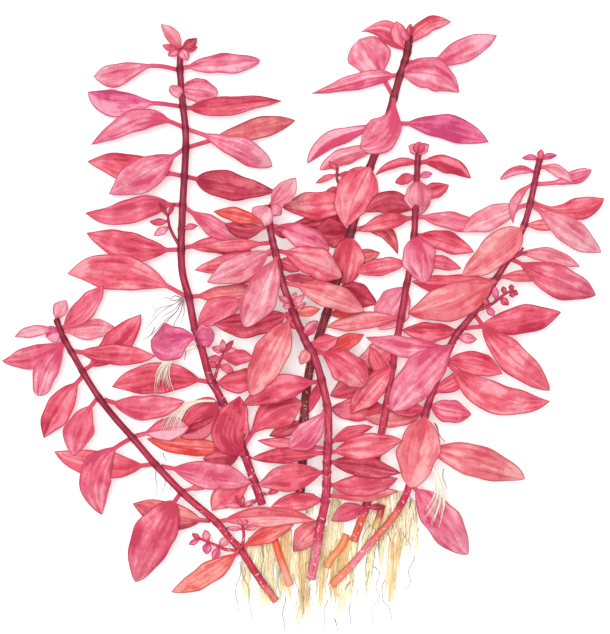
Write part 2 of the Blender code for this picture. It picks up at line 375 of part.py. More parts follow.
def route(points, count):
    """Points spread evenly along a smooth curve through the given ones."""
    given = np.array(points, float)
    padded = np.vstack([2 * given[0] - given[1], given, 2 * given[-1] - given[-2]])
    fine = []
    for first in range(len(given) - 1):
        before, start, end, after = padded[first:first + 4]
        for share in np.linspace(0, 1, 12, endpoint=False):
            fine.append(0.5 * (2 * start + (end - before) * share
                               + (2 * before - 5 * start + 4 * end - after) * share ** 2
                               + (3 * start - before - 3 * end + after) * share ** 3))
    fine = np.array(fine + [given[-1]])
    length = np.concatenate([[0], np.cumsum(np.linalg.norm(np.diff(fine, axis=0), axis=1))])
    wanted = np.linspace(0, length[-1], count)
    return np.stack([np.interp(wanted, length, fine[:, axis]) for axis in range(fine.shape[1])], 1)


def through(first, middle, last, share):
    """A value that runs smoothly through three given ones."""
    return (first * (1 - share) * (1 - 2 * share) + middle * 4 * share * (1 - share)
            + last * share * (2 * share - 1))


def stem_line(name, count):
    """Places and radii along a stem, from its tip to its cut end."""
    points, (thin, thick), heights, rank = STEMS[name]
    flat = route(points, count)
    share = np.linspace(0, 1, count)
    z = through(*heights, share)
    return np.column_stack([flat, z]), thin + (thick - thin) * share


def stem_count(name):
    """How many points the stem's solid runs through."""
    return round(np.linalg.norm(np.diff(route(STEMS[name][0], 60), axis=0), axis=1).sum() / STEM_STEP) + 1


def twig_line(twig, count):
    """Places and radii along a side twig, which leaves its stem level and climbs a little."""
    stem, points = twig
    flat = route(points, count)
    line, radii = stem_line(stem, 240)
    near = np.argmin(np.hypot(line[:, 0] - flat[0, 0], line[:, 1] - flat[0, 1]))
    share = np.linspace(0, 1, count)
    return np.column_stack([flat, line[near, 2] + TWIG_RISE * share]), TWIG_RADIUS * (1 - TWIG_TAPER * share)


def dense(line, radii, step):
    """The same straight runs with a point every step."""
    length = np.concatenate([[0], np.cumsum(np.linalg.norm(np.diff(line, axis=0), axis=1))])
    wanted = np.linspace(0, length[-1], round(length[-1] / step) + 1)
    finer = np.stack([np.interp(wanted, length, line[:, axis]) for axis in range(3)], 1)
    return finer, np.interp(wanted, length, radii)


class Leaf:
    """One leaf of the tables, with its foot on a stem or a twig."""

    def __init__(self, shoot, number, row):
        self.shoot, self.number, self.row = shoot, number, row
        self.foot, self.tip = np.array(row[:2], float), np.array(row[2:4], float)
        self.width, self.bend, self.stalk, self.rank, self.tone = row[4:9]
        self.sharp = row[9] if len(row) > 9 else SHARP_TIP
        widest, self.sway = FORMS.get((shoot, number), (0.0, 0.0))
        self.blade_foot = STALK_SHARE * self.stalk
        belly = widest or self.stalk + (1 - self.stalk) * BELLY
        self.belly = TUFT_BELLY if self.tone == "tuft" else (belly - self.blade_foot) / (1 - self.blade_foot)
        self.length = float(np.linalg.norm(self.tip - self.foot))
        seed = math.sin(row[0] * 12.99 + row[1] * 78.23 + row[2] * 3.7) * 43758.5
        self.chance = seed - math.floor(seed)
        self.roll = (self.chance - 0.5) * ROLL
        self.cup = CUP[0] + CUP[1] * math.modf(self.chance * 7)[0]
        self.own = self.width * self.length > OWN_LEAF_AREA or self.tone == "tuft"
        self.place_foot()

    def place_foot(self):
        """Finds the stem or twig under the foot and sets the foot on its skin."""
        rank = STEMS[self.shoot][3]
        carriers = [(*dense(*stem_line(self.shoot, stem_count(self.shoot)), 0.5), rank)]
        for twig in TWIGS:
            if twig[0] == self.shoot:
                carriers.append((*dense(*twig_line(twig, TWIG_COUNT), 0.5), rank))
        best = None
        for line, radii, rank in carriers:
            apart = np.hypot(line[:, 0] - self.foot[0], line[:, 1] - self.foot[1])
            near = min(int(np.argmin(apart)), len(line) - 3)
            if best is None or apart[near] < best[0] - 0.4:
                best = (apart[near], line, radii, near, rank)
        apart, line, radii, near, rank = best
        self.carrier = (self.shoot, len(line))
        axis, radius = line[near], radii[near]
        ahead, behind = line[min(near + 1, len(line) - 1)], line[max(near - 1, 0)]
        run = (ahead - behind)[:2] / np.linalg.norm((ahead - behind)[:2])
        aim = self.point(0.3)[:2] - axis[:2]
        aim = aim / np.linalg.norm(aim)
        along = abs(float(run @ aim))
        gap = GAP if self.own else -SUNK * radius
        over = 1 if self.rank > rank else -1
        self.stand_off = 0.0
        if along > ALONG_STEM:
            self.foot = axis[:2].copy()
            lift = over * (radius + gap + (UNDER_FOOT if self.own else SMALL_LIFT))
            self.stand_off = over * (gap + UNDER_FOOT) if self.own else 0.0
        else:
            slant = math.sqrt(1 - along * along)
            out = (radius + gap + FOOT_AHEAD[0] + FOOT_AHEAD[1] * along) / slant if self.own else radius + gap
            self.foot = axis[:2] + aim * out
            lift = radius * FOOT_SPREAD * max(-FOOT_TURN, min(FOOT_TURN, (self.rank - rank) * FOOT_STEP))
        self.foot_z = max(axis[2] + lift, LOWEST_FOOT)

    def point(self, share):
        """Place of the midrib on the sheet, and its direction."""
        run = self.tip - self.foot
        side = np.array([-run[1], run[0]]) / np.linalg.norm(run)
        knee = (self.foot + self.tip) / 2 + 2 * self.bend * side
        share = np.atleast_1d(np.asarray(share, float))[:, None]
        place = (1 - share) ** 2 * self.foot + 2 * share * (1 - share) * knee + share ** 2 * self.tip
        place = place + self.sway * np.sin(2 * math.pi * share) * side
        heading = 2 * (1 - share) * (knee - self.foot) + 2 * share * (self.tip - knee)
        heading = heading + self.sway * 2 * math.pi * np.cos(2 * math.pi * share) * side
        heading = heading / np.linalg.norm(heading, axis=1, keepdims=True)
        if len(place) == 1:
            return np.concatenate([place[0], heading[0]])
        return np.hstack([place, heading])

    def half_width(self, share):
        """Half the width at a share of the length: a thin stalk, then the blade."""
        blade = np.clip((np.asarray(share, float) - self.blade_foot) / (1 - self.blade_foot), 0, 1)
        rise = self.sharp * self.belly / (1 - self.belly)
        form = (blade / self.belly) ** rise * ((1 - blade) / (1 - self.belly)) ** self.sharp
        stalk = min(STALK_WIDTH[0], STALK_WIDTH[1] * self.width + STALK_WIDTH[2])
        stalk = stalk * np.clip((1 - np.asarray(share)) / STALK_TIP, 0, 1)
        return np.maximum(self.width / 2 * form, stalk)

    def weights(self, share):
        """How much the heights of the foot, the middle and the tip count at a share of the length."""
        share = np.asarray(share, float)
        return (1 - share) * (1 - 2 * share), 4 * share * (1 - share), share * (2 * share - 1)

    def surface(self, share, across):
        """Place of the blade's middle surface; across runs from -1 at the right edge to 1."""
        share, across = np.broadcast_arrays(np.asarray(share, float), np.asarray(across, float))
        flat = self.point(share.ravel())
        flat = flat.reshape(-1, 4)
        half = self.half_width(share.ravel())
        aside = across.ravel() * half
        x = flat[:, 0] - flat[:, 3] * aside
        y = flat[:, 1] + flat[:, 2] * aside
        foot, middle, tip = self.weights(share.ravel())
        z = foot * self.foot_z + middle * self.middle_z + tip * self.tip_z + self.lean(share.ravel(), aside)
        return np.column_stack([x, y, z]).reshape(share.shape + (3,))

    def lean(self, share, aside):
        """Height that the blade's roll and its raised edges add beside the midrib."""
        fade = np.clip(np.asarray(share) * 4, 0, 1)
        return fade * (self.roll * aside + self.cup * np.abs(aside) ** 1.5 * 0.5)


def make_leaves():
    leaves = []
    for shoot, rows in LEAVES.items():
        for number, row in enumerate(rows):
            leaves.append(Leaf(shoot, number, row))
    return leaves


def settle(leaves):
    """Finds the height of each leaf's middle and tip, so that what lies on it lies clear of it."""
    for leaf in leaves:
        leaf.middle_z = leaf.foot_z + 0.5 + 1.5 * leaf.chance
        drop = 0.22 * leaf.length * (0.6 + 0.8 * math.modf(leaf.chance * 5)[0])
        leaf.tip_z = max(1.0, leaf.foot_z - drop)
    shares = np.array([0.1, 0.18, 0.27, 0.36, 0.45, 0.55, 0.65, 0.75, 0.85, 0.93, 1.0])
    sides = np.array([-1.0, -0.5, 0.0, 0.5, 1.0])
    fine = np.linspace(0, 1, 41)
    spines = [(leaf.point(fine)[:, :2], leaf.half_width(fine), leaf.point(fine)[:, 2:]) for leaf in leaves]
    boxes = []
    for leaf in leaves:
        edge = leaf.surface(fine[:, None], np.array([-1.0, 1.0])[None, :]).reshape(-1, 3)
        boxes.append((edge[:, :2].min(0) - 1, edge[:, :2].max(0) + 1))

    def under(number, places):
        """For places on the sheet: whether leaf number covers them, and where on it they are."""
        centre, half, heading = spines[number]
        apart = places[:, None, :] - centre[None, :, :]
        near = np.argmin((apart ** 2).sum(2), axis=1)
        offset = apart[np.arange(len(places)), near]
        head = heading[near]
        aside = head[:, 0] * offset[:, 1] - head[:, 1] * offset[:, 0]
        ahead = (head * offset).sum(1)
        inside = (np.abs(aside) <= half[near] + EDGE_ROOM) & (np.abs(ahead) < 1.2)
        return inside, fine[near], np.clip(aside, -half[near], half[near])

    rows = []       # upper leaf, its share and offset, lower leaf, its share and offset, gap
    for first, leaf in enumerate(leaves):
        grid = leaf.surface(shares[:, None], sides[None, :]).reshape(-1, 3)[:, :2]
        share_1 = np.repeat(shares, len(sides))
        aside_1 = np.tile(sides, len(shares)) * leaf.half_width(share_1)
        for second, other in enumerate(leaves):
            if second == first or np.any(boxes[first][0] > boxes[second][1]) or np.any(
                    boxes[second][0] > boxes[first][1]):
                continue
            inside, share_2, aside_2 = under(second, grid)
            near_foot = (share_1 < NEAR_OWN_FOOT) & (share_2 < NEAR_OWN_FOOT)
            if not leaf.own and not other.own and leaf.shoot == other.shoot:
                near_foot = (share_1 < NEAR_SMALL_FOOT) | (share_2 < NEAR_SMALL_FOOT)
            for k in np.nonzero(inside & ~near_foot)[0]:
                above = (leaf.rank, leaf.foot_z, first) > (other.rank, other.foot_z, second)
                lean_1 = float(leaf.lean(share_1[k], aside_1[k]))
                lean_2 = float(other.lean(share_2[k], aside_2[k]))
                if above:
                    rows.append((first, share_1[k], second, share_2[k], CLEARANCE - lean_1 + lean_2))
                else:
                    rows.append((second, share_2[k], first, share_1[k], CLEARANCE - lean_2 + lean_1))
    solid_rows = []     # leaf, its share, height it keeps, and +1 above or -1 below
    lines = []
    for name in STEMS:
        line, radii = dense(*stem_line(name, stem_count(name)), 0.5)
        lines.append(((name, len(line)), line, radii, STEMS[name][3]))
    for twig in TWIGS:
        line, radii = dense(*twig_line(twig, TWIG_COUNT), 0.5)
        lines.append(((twig[0], len(line)), line, radii, STEMS[twig[0]][3]))
    for points, radius in ROOT_TUFTS + [(ROOT_CROWN, CROWN_RADIUS)]:
        flat = route(points, 30)
        crown = points is ROOT_CROWN
        height = np.full(30, ROOT_HEIGHT) if crown else np.linspace(ROOT_HEIGHT, ROOT_TIP_HEIGHT, 30)
        lines.append(("roots", np.column_stack([flat, height]), height, -1))
    for number, leaf in enumerate(leaves):
        for name, line, radii, rank in lines:
            inside, share, aside = under(number, line[:, :2])
            for k in np.nonzero(inside)[0]:
                if name == leaf.carrier and share[k] < (0.15 if leaf.own else 0.3):
                    continue
                if name[0] == leaf.shoot and (share[k] < 0.04 or not leaf.own):
                    continue
                side = 1 if leaf.rank > rank else -1
                keep = side * (radii[k] + STEM_ROOM) + line[k, 2] - float(leaf.lean(share[k], aside[k]))
                solid_rows.append((number, share[k], keep, side))
        for share in (0.1, 0.2, 0.35, 0.5, 0.65, 0.8, 0.9, 1.0):
            for side in (-1, 0, 1):
                low = float(leaf.lean(share, side * leaf.half_width(share)))
                floor = LEAF_THICKNESS / 2 * (1 if share < 0.95 else 0.1) + FLOOR_GAP
                solid_rows.append((number, share, floor - low, 1))
    upper = np.array([r[0] for r in rows])
    lower = np.array([r[2] for r in rows])
    upper_w = np.array(leaves[0].weights(np.array([r[1] for r in rows])))
    lower_w = np.array(leaves[0].weights(np.array([r[3] for r in rows])))
    gap = np.array([r[4] for r in rows])
    held = np.array([r[0] for r in solid_rows])
    held_w = np.array(leaves[0].weights(np.array([r[1] for r in solid_rows])))
    keep = np.array([r[2] for r in solid_rows])
    side = np.array([r[3] for r in solid_rows])
    foot = np.array([leaf.foot_z for leaf in leaves])
    state = np.array([[leaf.middle_z, leaf.tip_z] for leaf in leaves])
    wanted = state.copy()
    pinned = np.array([(leaf.shoot, leaf.number) in RESTING for leaf in leaves])
    wanted[pinned, 1] = PINNED_TIP
    for turn in range(SETTLE_TURNS):
        ease = 0.02 * max(0.0, 1 - turn / (0.8 * SETTLE_TURNS))
        state += ease * (wanted - state)
        move, count = np.zeros_like(state), np.full(len(leaves), 1e-9)
        high = foot[upper] * upper_w[0] + state[upper, 0] * upper_w[1] + state[upper, 1] * upper_w[2]
        low = foot[lower] * lower_w[0] + state[lower, 0] * lower_w[1] + state[lower, 1] * lower_w[2]
        short = gap - (high - low)
        bad = short > 0
        size = upper_w[1] ** 2 + upper_w[2] ** 2 + lower_w[1] ** 2 + lower_w[2] ** 2 + 1e-6
        push = np.where(bad, short / size, 0)
        for weight, column in ((1, 0), (2, 1)):
            np.add.at(move[:, column], upper, push * upper_w[weight])
            np.add.at(move[:, column], lower, -push * lower_w[weight])
        np.add.at(count, upper, bad)
        np.add.at(count, lower, bad)
        now = foot[held] * held_w[0] + state[held, 0] * held_w[1] + state[held, 1] * held_w[2]
        short = (keep - now) * side
        bad = short > 0
        size = held_w[1] ** 2 + held_w[2] ** 2 + 1e-6
        push = np.where(bad, short * side / size, 0)
        for weight, column in ((1, 0), (2, 1)):
            np.add.at(move[:, column], held, push * held_w[weight])
        np.add.at(count, held, bad)
        state += 1.4 * move / np.maximum(count, 1)[:, None]
        state[pinned, 1] = PINNED_TIP
    for leaf, (middle, tip) in zip(leaves, state):
        leaf.middle_z, leaf.tip_z = float(middle), float(tip)




def place(point):
    """Turns a place on the sheet in millimetres into one in the scene."""
    return ((point[0] - MIDDLE_X) * MM, (point[1] - MIDDLE_Y) * MM, point[2] * MM)


def ringed(rings, ends):
    """A closed solid through rings of points, with a flat end, or a point where ends has one."""
    mesh = bmesh.new()
    rows = [[mesh.verts.new(place(point)) for point in ring] for ring in rings]
    around = len(rings[0])
    for near, far in zip(rows, rows[1:]):
        for k in range(around):
            mesh.faces.new((near[k], near[(k + 1) % around], far[(k + 1) % around], far[k]))
    for row, point, turn in ((rows[0], ends[0], -1), (rows[-1], ends[1], 1)):
        if point is None:
            mesh.faces.new(row[::turn])
            continue
        apex = mesh.verts.new(place(point))
        for k in range(around):
            pair = (row[k], row[(k + 1) % around])[::turn]
            mesh.faces.new((*pair, apex))
    bmesh.ops.triangulate(mesh, faces=mesh.faces)
    bmesh.ops.recalc_face_normals(mesh, faces=mesh.faces)
    return mesh


def make_object(name, mesh):
    data = bpy.data.meshes.new(name)
    mesh.to_mesh(data)
    mesh.free()
    made = bpy.data.objects.new(name, data)
    bpy.context.collection.objects.link(made)
    return made


def tube(line, wide, high, flat_side=False):
    """A six-sided tube along a line of points; a flat side underneath when it lies on the surface."""
    line = np.asarray(line, float)
    run = np.gradient(line, axis=0)
    run = run / np.linalg.norm(run, axis=1, keepdims=True)
    rings = []
    for centre, ahead, half, tall in zip(line, run, wide, high):
        aside = np.array([-ahead[1], ahead[0], 0]) / math.hypot(ahead[0], ahead[1])
        up = np.array([0, 0, 1]) if flat_side else np.cross(ahead, aside)
        ring = []
        for k in range(TUBE_SIDES):
            angle = 2 * math.pi * k / TUBE_SIDES
            ring.append(centre + aside * half * math.cos(angle) + up * tall * math.sin(angle))
        rings.append(ring)
    return ringed(rings, (None, None))


def stem_solid(name):
    line, radii = stem_line(name, stem_count(name))
    return tube(line, radii, radii)


def twig_solid(twig):
    line, radii = twig_line(twig, TWIG_COUNT)
    return tube(line, radii, radii)


def leaf_solid(leaf):
    """A blade with a thick midrib and sharp edges, from its foot to its pointed tip."""
    stations = OWN_STATIONS if leaf.own else SHORT_STATIONS if leaf.length < SHORT else STATIONS
    if leaf.tone == "tuft":
        stations = TUFT_STATIONS
    rings = []
    for share in stations:
        right, middle, left = (leaf.surface(share, side) for side in (-1, 0, 1))
        if leaf.own:
            keel = (0, 0, LEAF_THICKNESS / 2)
            rings.append([right, middle + keel, left, middle - keel])
        else:
            rings.append([right, left, middle - (0, 0, SMALL_KEEL * LEAF_THICKNESS)])
    return ringed(rings, (None, leaf.surface(1.0, 0)))


def fuse(base, pieces):
    """Joins the pieces to the base, one after the other, into one solid."""
    for piece in pieces:
        joint = base.modifiers.new("joint", "BOOLEAN")
        joint.operation, joint.solver, joint.object = "UNION", "MANIFOLD", piece
        shape = bpy.data.meshes.new_from_object(base.evaluated_get(bpy.context.evaluated_depsgraph_get()))
        base.modifiers.clear()
        old, base.data = base.data, shape
        bpy.data.meshes.remove(old)
        bpy.data.objects.remove(piece)
    shape = bmesh.new()
    shape.from_mesh(base.data)
    bmesh.ops.triangulate(shape, faces=shape.faces, ngon_method="EAR_CLIP")
    shape.to_mesh(base.data)
    shape.free()
    base.data.name = base.name
    return base


def paint(made, name, colour, roughness):
    material = bpy.data.materials.new(name)
    material.use_nodes = True
    surface = material.node_tree.nodes["Principled BSDF"]
    surface.inputs["Base Color"].default_value = (*colour, 1)
    surface.inputs["Roughness"].default_value = roughness
    made.data.materials.clear()
    made.data.materials.append(material)


def build():
    for old in list(bpy.data.objects):
        bpy.data.objects.remove(old)
    leaves = make_leaves()
    settle(leaves)
    for name in STEMS:
        base = make_object(f"{name}_shoot_stem", stem_solid(name))
        small = [make_object("twig", twig_solid(twig)) for twig in TWIGS if twig[0] == name]
        small += [make_object("leaf", leaf_solid(leaf)) for leaf in leaves
                  if leaf.shoot == name and not leaf.own and leaf.length > TINY]
        fuse(base, small)
        paint(base, f"{name}_stem_skin", STEM_COLOUR, 0.5)
        for leaf in leaves:
            if leaf.shoot == name and leaf.own:
                kind = "aerial_roots" if leaf.tone == "tuft" else "leaf"
                blade = make_object(f"{name}_shoot_{kind}_{leaf.number + 1:02d}", leaf_solid(leaf))
                colour = ROOT_COLOUR if kind == "aerial_roots" else TONES[leaf.tone]
                paint(blade, f"{blade.name}_skin", colour, 0.45)
    strands = []
    top = math.sin(2 * math.pi / TUBE_SIDES)
    for points, half in ROOT_TUFTS:
        high = np.linspace(ROOT_HEIGHT, ROOT_TIP_HEIGHT, STRAND_COUNT)
        wide = half * np.linspace(1, ROOT_TAPER, STRAND_COUNT)
        line = np.column_stack([route(points, STRAND_COUNT), high * top])
        strands.append(make_object("strand", tube(line, wide, high, True)))
    high = np.full(CROWN_COUNT, ROOT_HEIGHT + CROWN_TOP)
    line = np.column_stack([route(ROOT_CROWN, CROWN_COUNT), high * top])
    crown = make_object("root_mat", tube(line, np.full(CROWN_COUNT, CROWN_RADIUS), high, True))
    for points, half in BACK_STUBS:
        line = np.column_stack([route(points, STUB_COUNT), np.linspace(*STUB_HEIGHTS, STUB_COUNT)])
        thick = np.full(STUB_COUNT, half)
        strands.append(make_object("stub", tube(line, thick, thick)))
    fuse(crown, strands)
    paint(crown, "root_mat_skin", ROOT_COLOUR, 0.8)


build()
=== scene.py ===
"""Looks of a picked bunch of super red ludwigia palustris, laid flat and seen from above."""

import math

import bmesh
import bpy
import numpy as np
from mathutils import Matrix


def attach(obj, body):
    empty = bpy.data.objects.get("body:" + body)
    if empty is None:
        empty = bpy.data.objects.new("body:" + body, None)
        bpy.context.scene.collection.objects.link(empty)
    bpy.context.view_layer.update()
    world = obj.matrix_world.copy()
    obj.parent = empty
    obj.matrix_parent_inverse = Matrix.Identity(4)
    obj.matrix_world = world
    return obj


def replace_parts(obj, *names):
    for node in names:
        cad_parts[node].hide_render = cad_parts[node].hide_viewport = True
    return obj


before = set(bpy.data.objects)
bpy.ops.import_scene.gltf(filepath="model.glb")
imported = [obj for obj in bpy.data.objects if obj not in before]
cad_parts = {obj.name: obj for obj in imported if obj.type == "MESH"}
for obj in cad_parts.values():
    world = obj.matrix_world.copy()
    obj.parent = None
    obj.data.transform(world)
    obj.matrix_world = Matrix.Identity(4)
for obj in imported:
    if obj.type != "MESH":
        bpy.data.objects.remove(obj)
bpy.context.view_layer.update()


# Camera: it looks straight down on the bunch from far away, through a long lens, because a botanical
# plate shows every leaf from the front and without perspective.
MM = 0.001
MIDDLE_X, MIDDLE_Y = 100.85, 103.23     # the point of the sheet, in millimetres, that is the origin
SHEET_WIDE, SHEET_HIGH = 203.33, 211.33
LENS, SENSOR = 400.0, 36.0
LOOKED_AT_HEIGHT = 10.0

camera_data = bpy.data.cameras.new("plate_camera")
camera_data.lens = LENS
camera_data.sensor_width = SENSOR
camera_data.clip_end = 20.0
camera = bpy.data.objects.new("plate_camera", camera_data)
bpy.context.collection.objects.link(camera)
camera.location = (
    (SHEET_WIDE / 2 - MIDDLE_X) * MM,
    (SHEET_HIGH / 2 - MIDDLE_Y) * MM,
    (SHEET_HIGH * LENS / SENSOR + LOOKED_AT_HEIGHT) * MM,
)
bpy.context.scene.camera = camera


# Stems: six juicy round stems with a ring at each pair of leaves, dark maroon near the tips and pink
# red lower down. They are fresh growth, cut or pulled off at the bottom. The thin side twigs are young.
STEMS = {
    # route from the tip to the cut end, radius at both ends, height above the surface at the tip, the
    # middle and the cut end, and rank: a higher rank lies nearer the viewer
    "tall": ([(60.2, 195), (60, 188), (61, 176), (61.8, 169), (62, 162), (61.5, 152), (61, 143),
        (60.5, 128), (61, 120), (63, 112.3), (64.8, 103), (67, 96.4), (69.8, 86), (71.3, 83),
        (75, 75.5), (80.7, 62), (83.6, 54), (87.4, 43.2)],
        (1.1, 1.4), (9, 16, 9), 5.5),
    "front": ([(89.5, 142.5), (90, 136.5), (91, 130.5), (92.3, 125.3), (94.3, 116.8), (98, 107),
        (101.7, 98), (105, 91.8), (107.4, 83.8), (109.2, 75), (109.4, 66.3), (109, 58),
        (108.6, 46), (106.7, 36), (105.5, 28), (103.7, 18.5)],
        (1.1, 1.5), (27, 29, 9), 9.1),
    "back": ([(136.5, 201), (136, 195), (134.8, 190.5), (133, 185), (131.2, 178.5), (127, 165),
        (123.5, 156), (120.6, 146), (117, 134), (111.5, 115), (106, 98), (103.2, 88),
        (101.5, 74), (100.9, 59), (100, 46.5), (100.4, 42.3)],
        (1.2, 1.6), (7, 6.5, 7), 2.7),
    "middle": ([(139.5, 160.5), (139.2, 157.5), (138.9, 151.5), (138.3, 139), (138, 133.3),
        (136.2, 119.8), (135.3, 115.5), (133.6, 105), (131.8, 96), (130.6, 88), (128.9, 76.8),
        (127.1, 66.8), (124.8, 54), (122.2, 43), (117.9, 31)],
        (1, 1.4), (12, 14, 8.6), 4.8),
    "right": ([(180, 158.5), (178.6, 152.5), (177, 145), (175, 137.5), (172.6, 131.5), (169.3, 125),
        (165.6, 119), (162, 112.8), (157.8, 107), (151.5, 99), (148.4, 92), (145.8, 85.5),
        (142.6, 76.5), (139.5, 64), (136.4, 50), (133.2, 42.5), (128.5, 36), (123, 29.8),
        (117, 22.8), (110.6, 16.4)],
        (1, 1.3), (10, 19, 8.6), 6.5),
    "left": ([(18.7, 105), (20.8, 99.5), (23.6, 94.5), (27.6, 87.5), (33, 79), (38.5, 72),
        (44.5, 65.3), (52, 56.5), (60.5, 47.6), (66.5, 42.3), (72, 37.6), (77, 31.6),
        (80.3, 28.1), (85, 20.7), (89, 15), (92, 11)],
        (1, 1.3), (9, 15, 8.6), 7.3),
}
TWIGS = [           # thin side twigs: the stem they grow from, and their route outwards
    ("tall", [(59.8, 129.5), (56.9, 135), (56, 140)]),
    ("tall", [(71.4, 84.6), (72.6, 88.5), (73.8, 92), (75, 95)]),
    ("tall", [(86.4, 45.6), (83.5, 43), (80, 42.4)]),
    ("tall", [(86.2, 46.6), (90.4, 46.8)]),
    ("back", [(119.2, 141), (115.4, 146), (112.4, 151.5), (112.6, 155.6)]),
    ("right", [(158.2, 107.6), (162, 109), (165, 110.9), (168, 113.3), (171, 114.8)]),
    ("right", [(169.4, 125.2), (172.3, 126.1), (174.1, 128.7)]),
    ("right", [(172.3, 126.1), (175.4, 127.2)]),
    ("left", [(80.4, 28.4), (81.3, 32.5), (80.8, 37)]),
    ("left", [(79.8, 28), (75.5, 28.2), (72, 29.7), (68.4, 31.2), (65.8, 32.3)]),
]
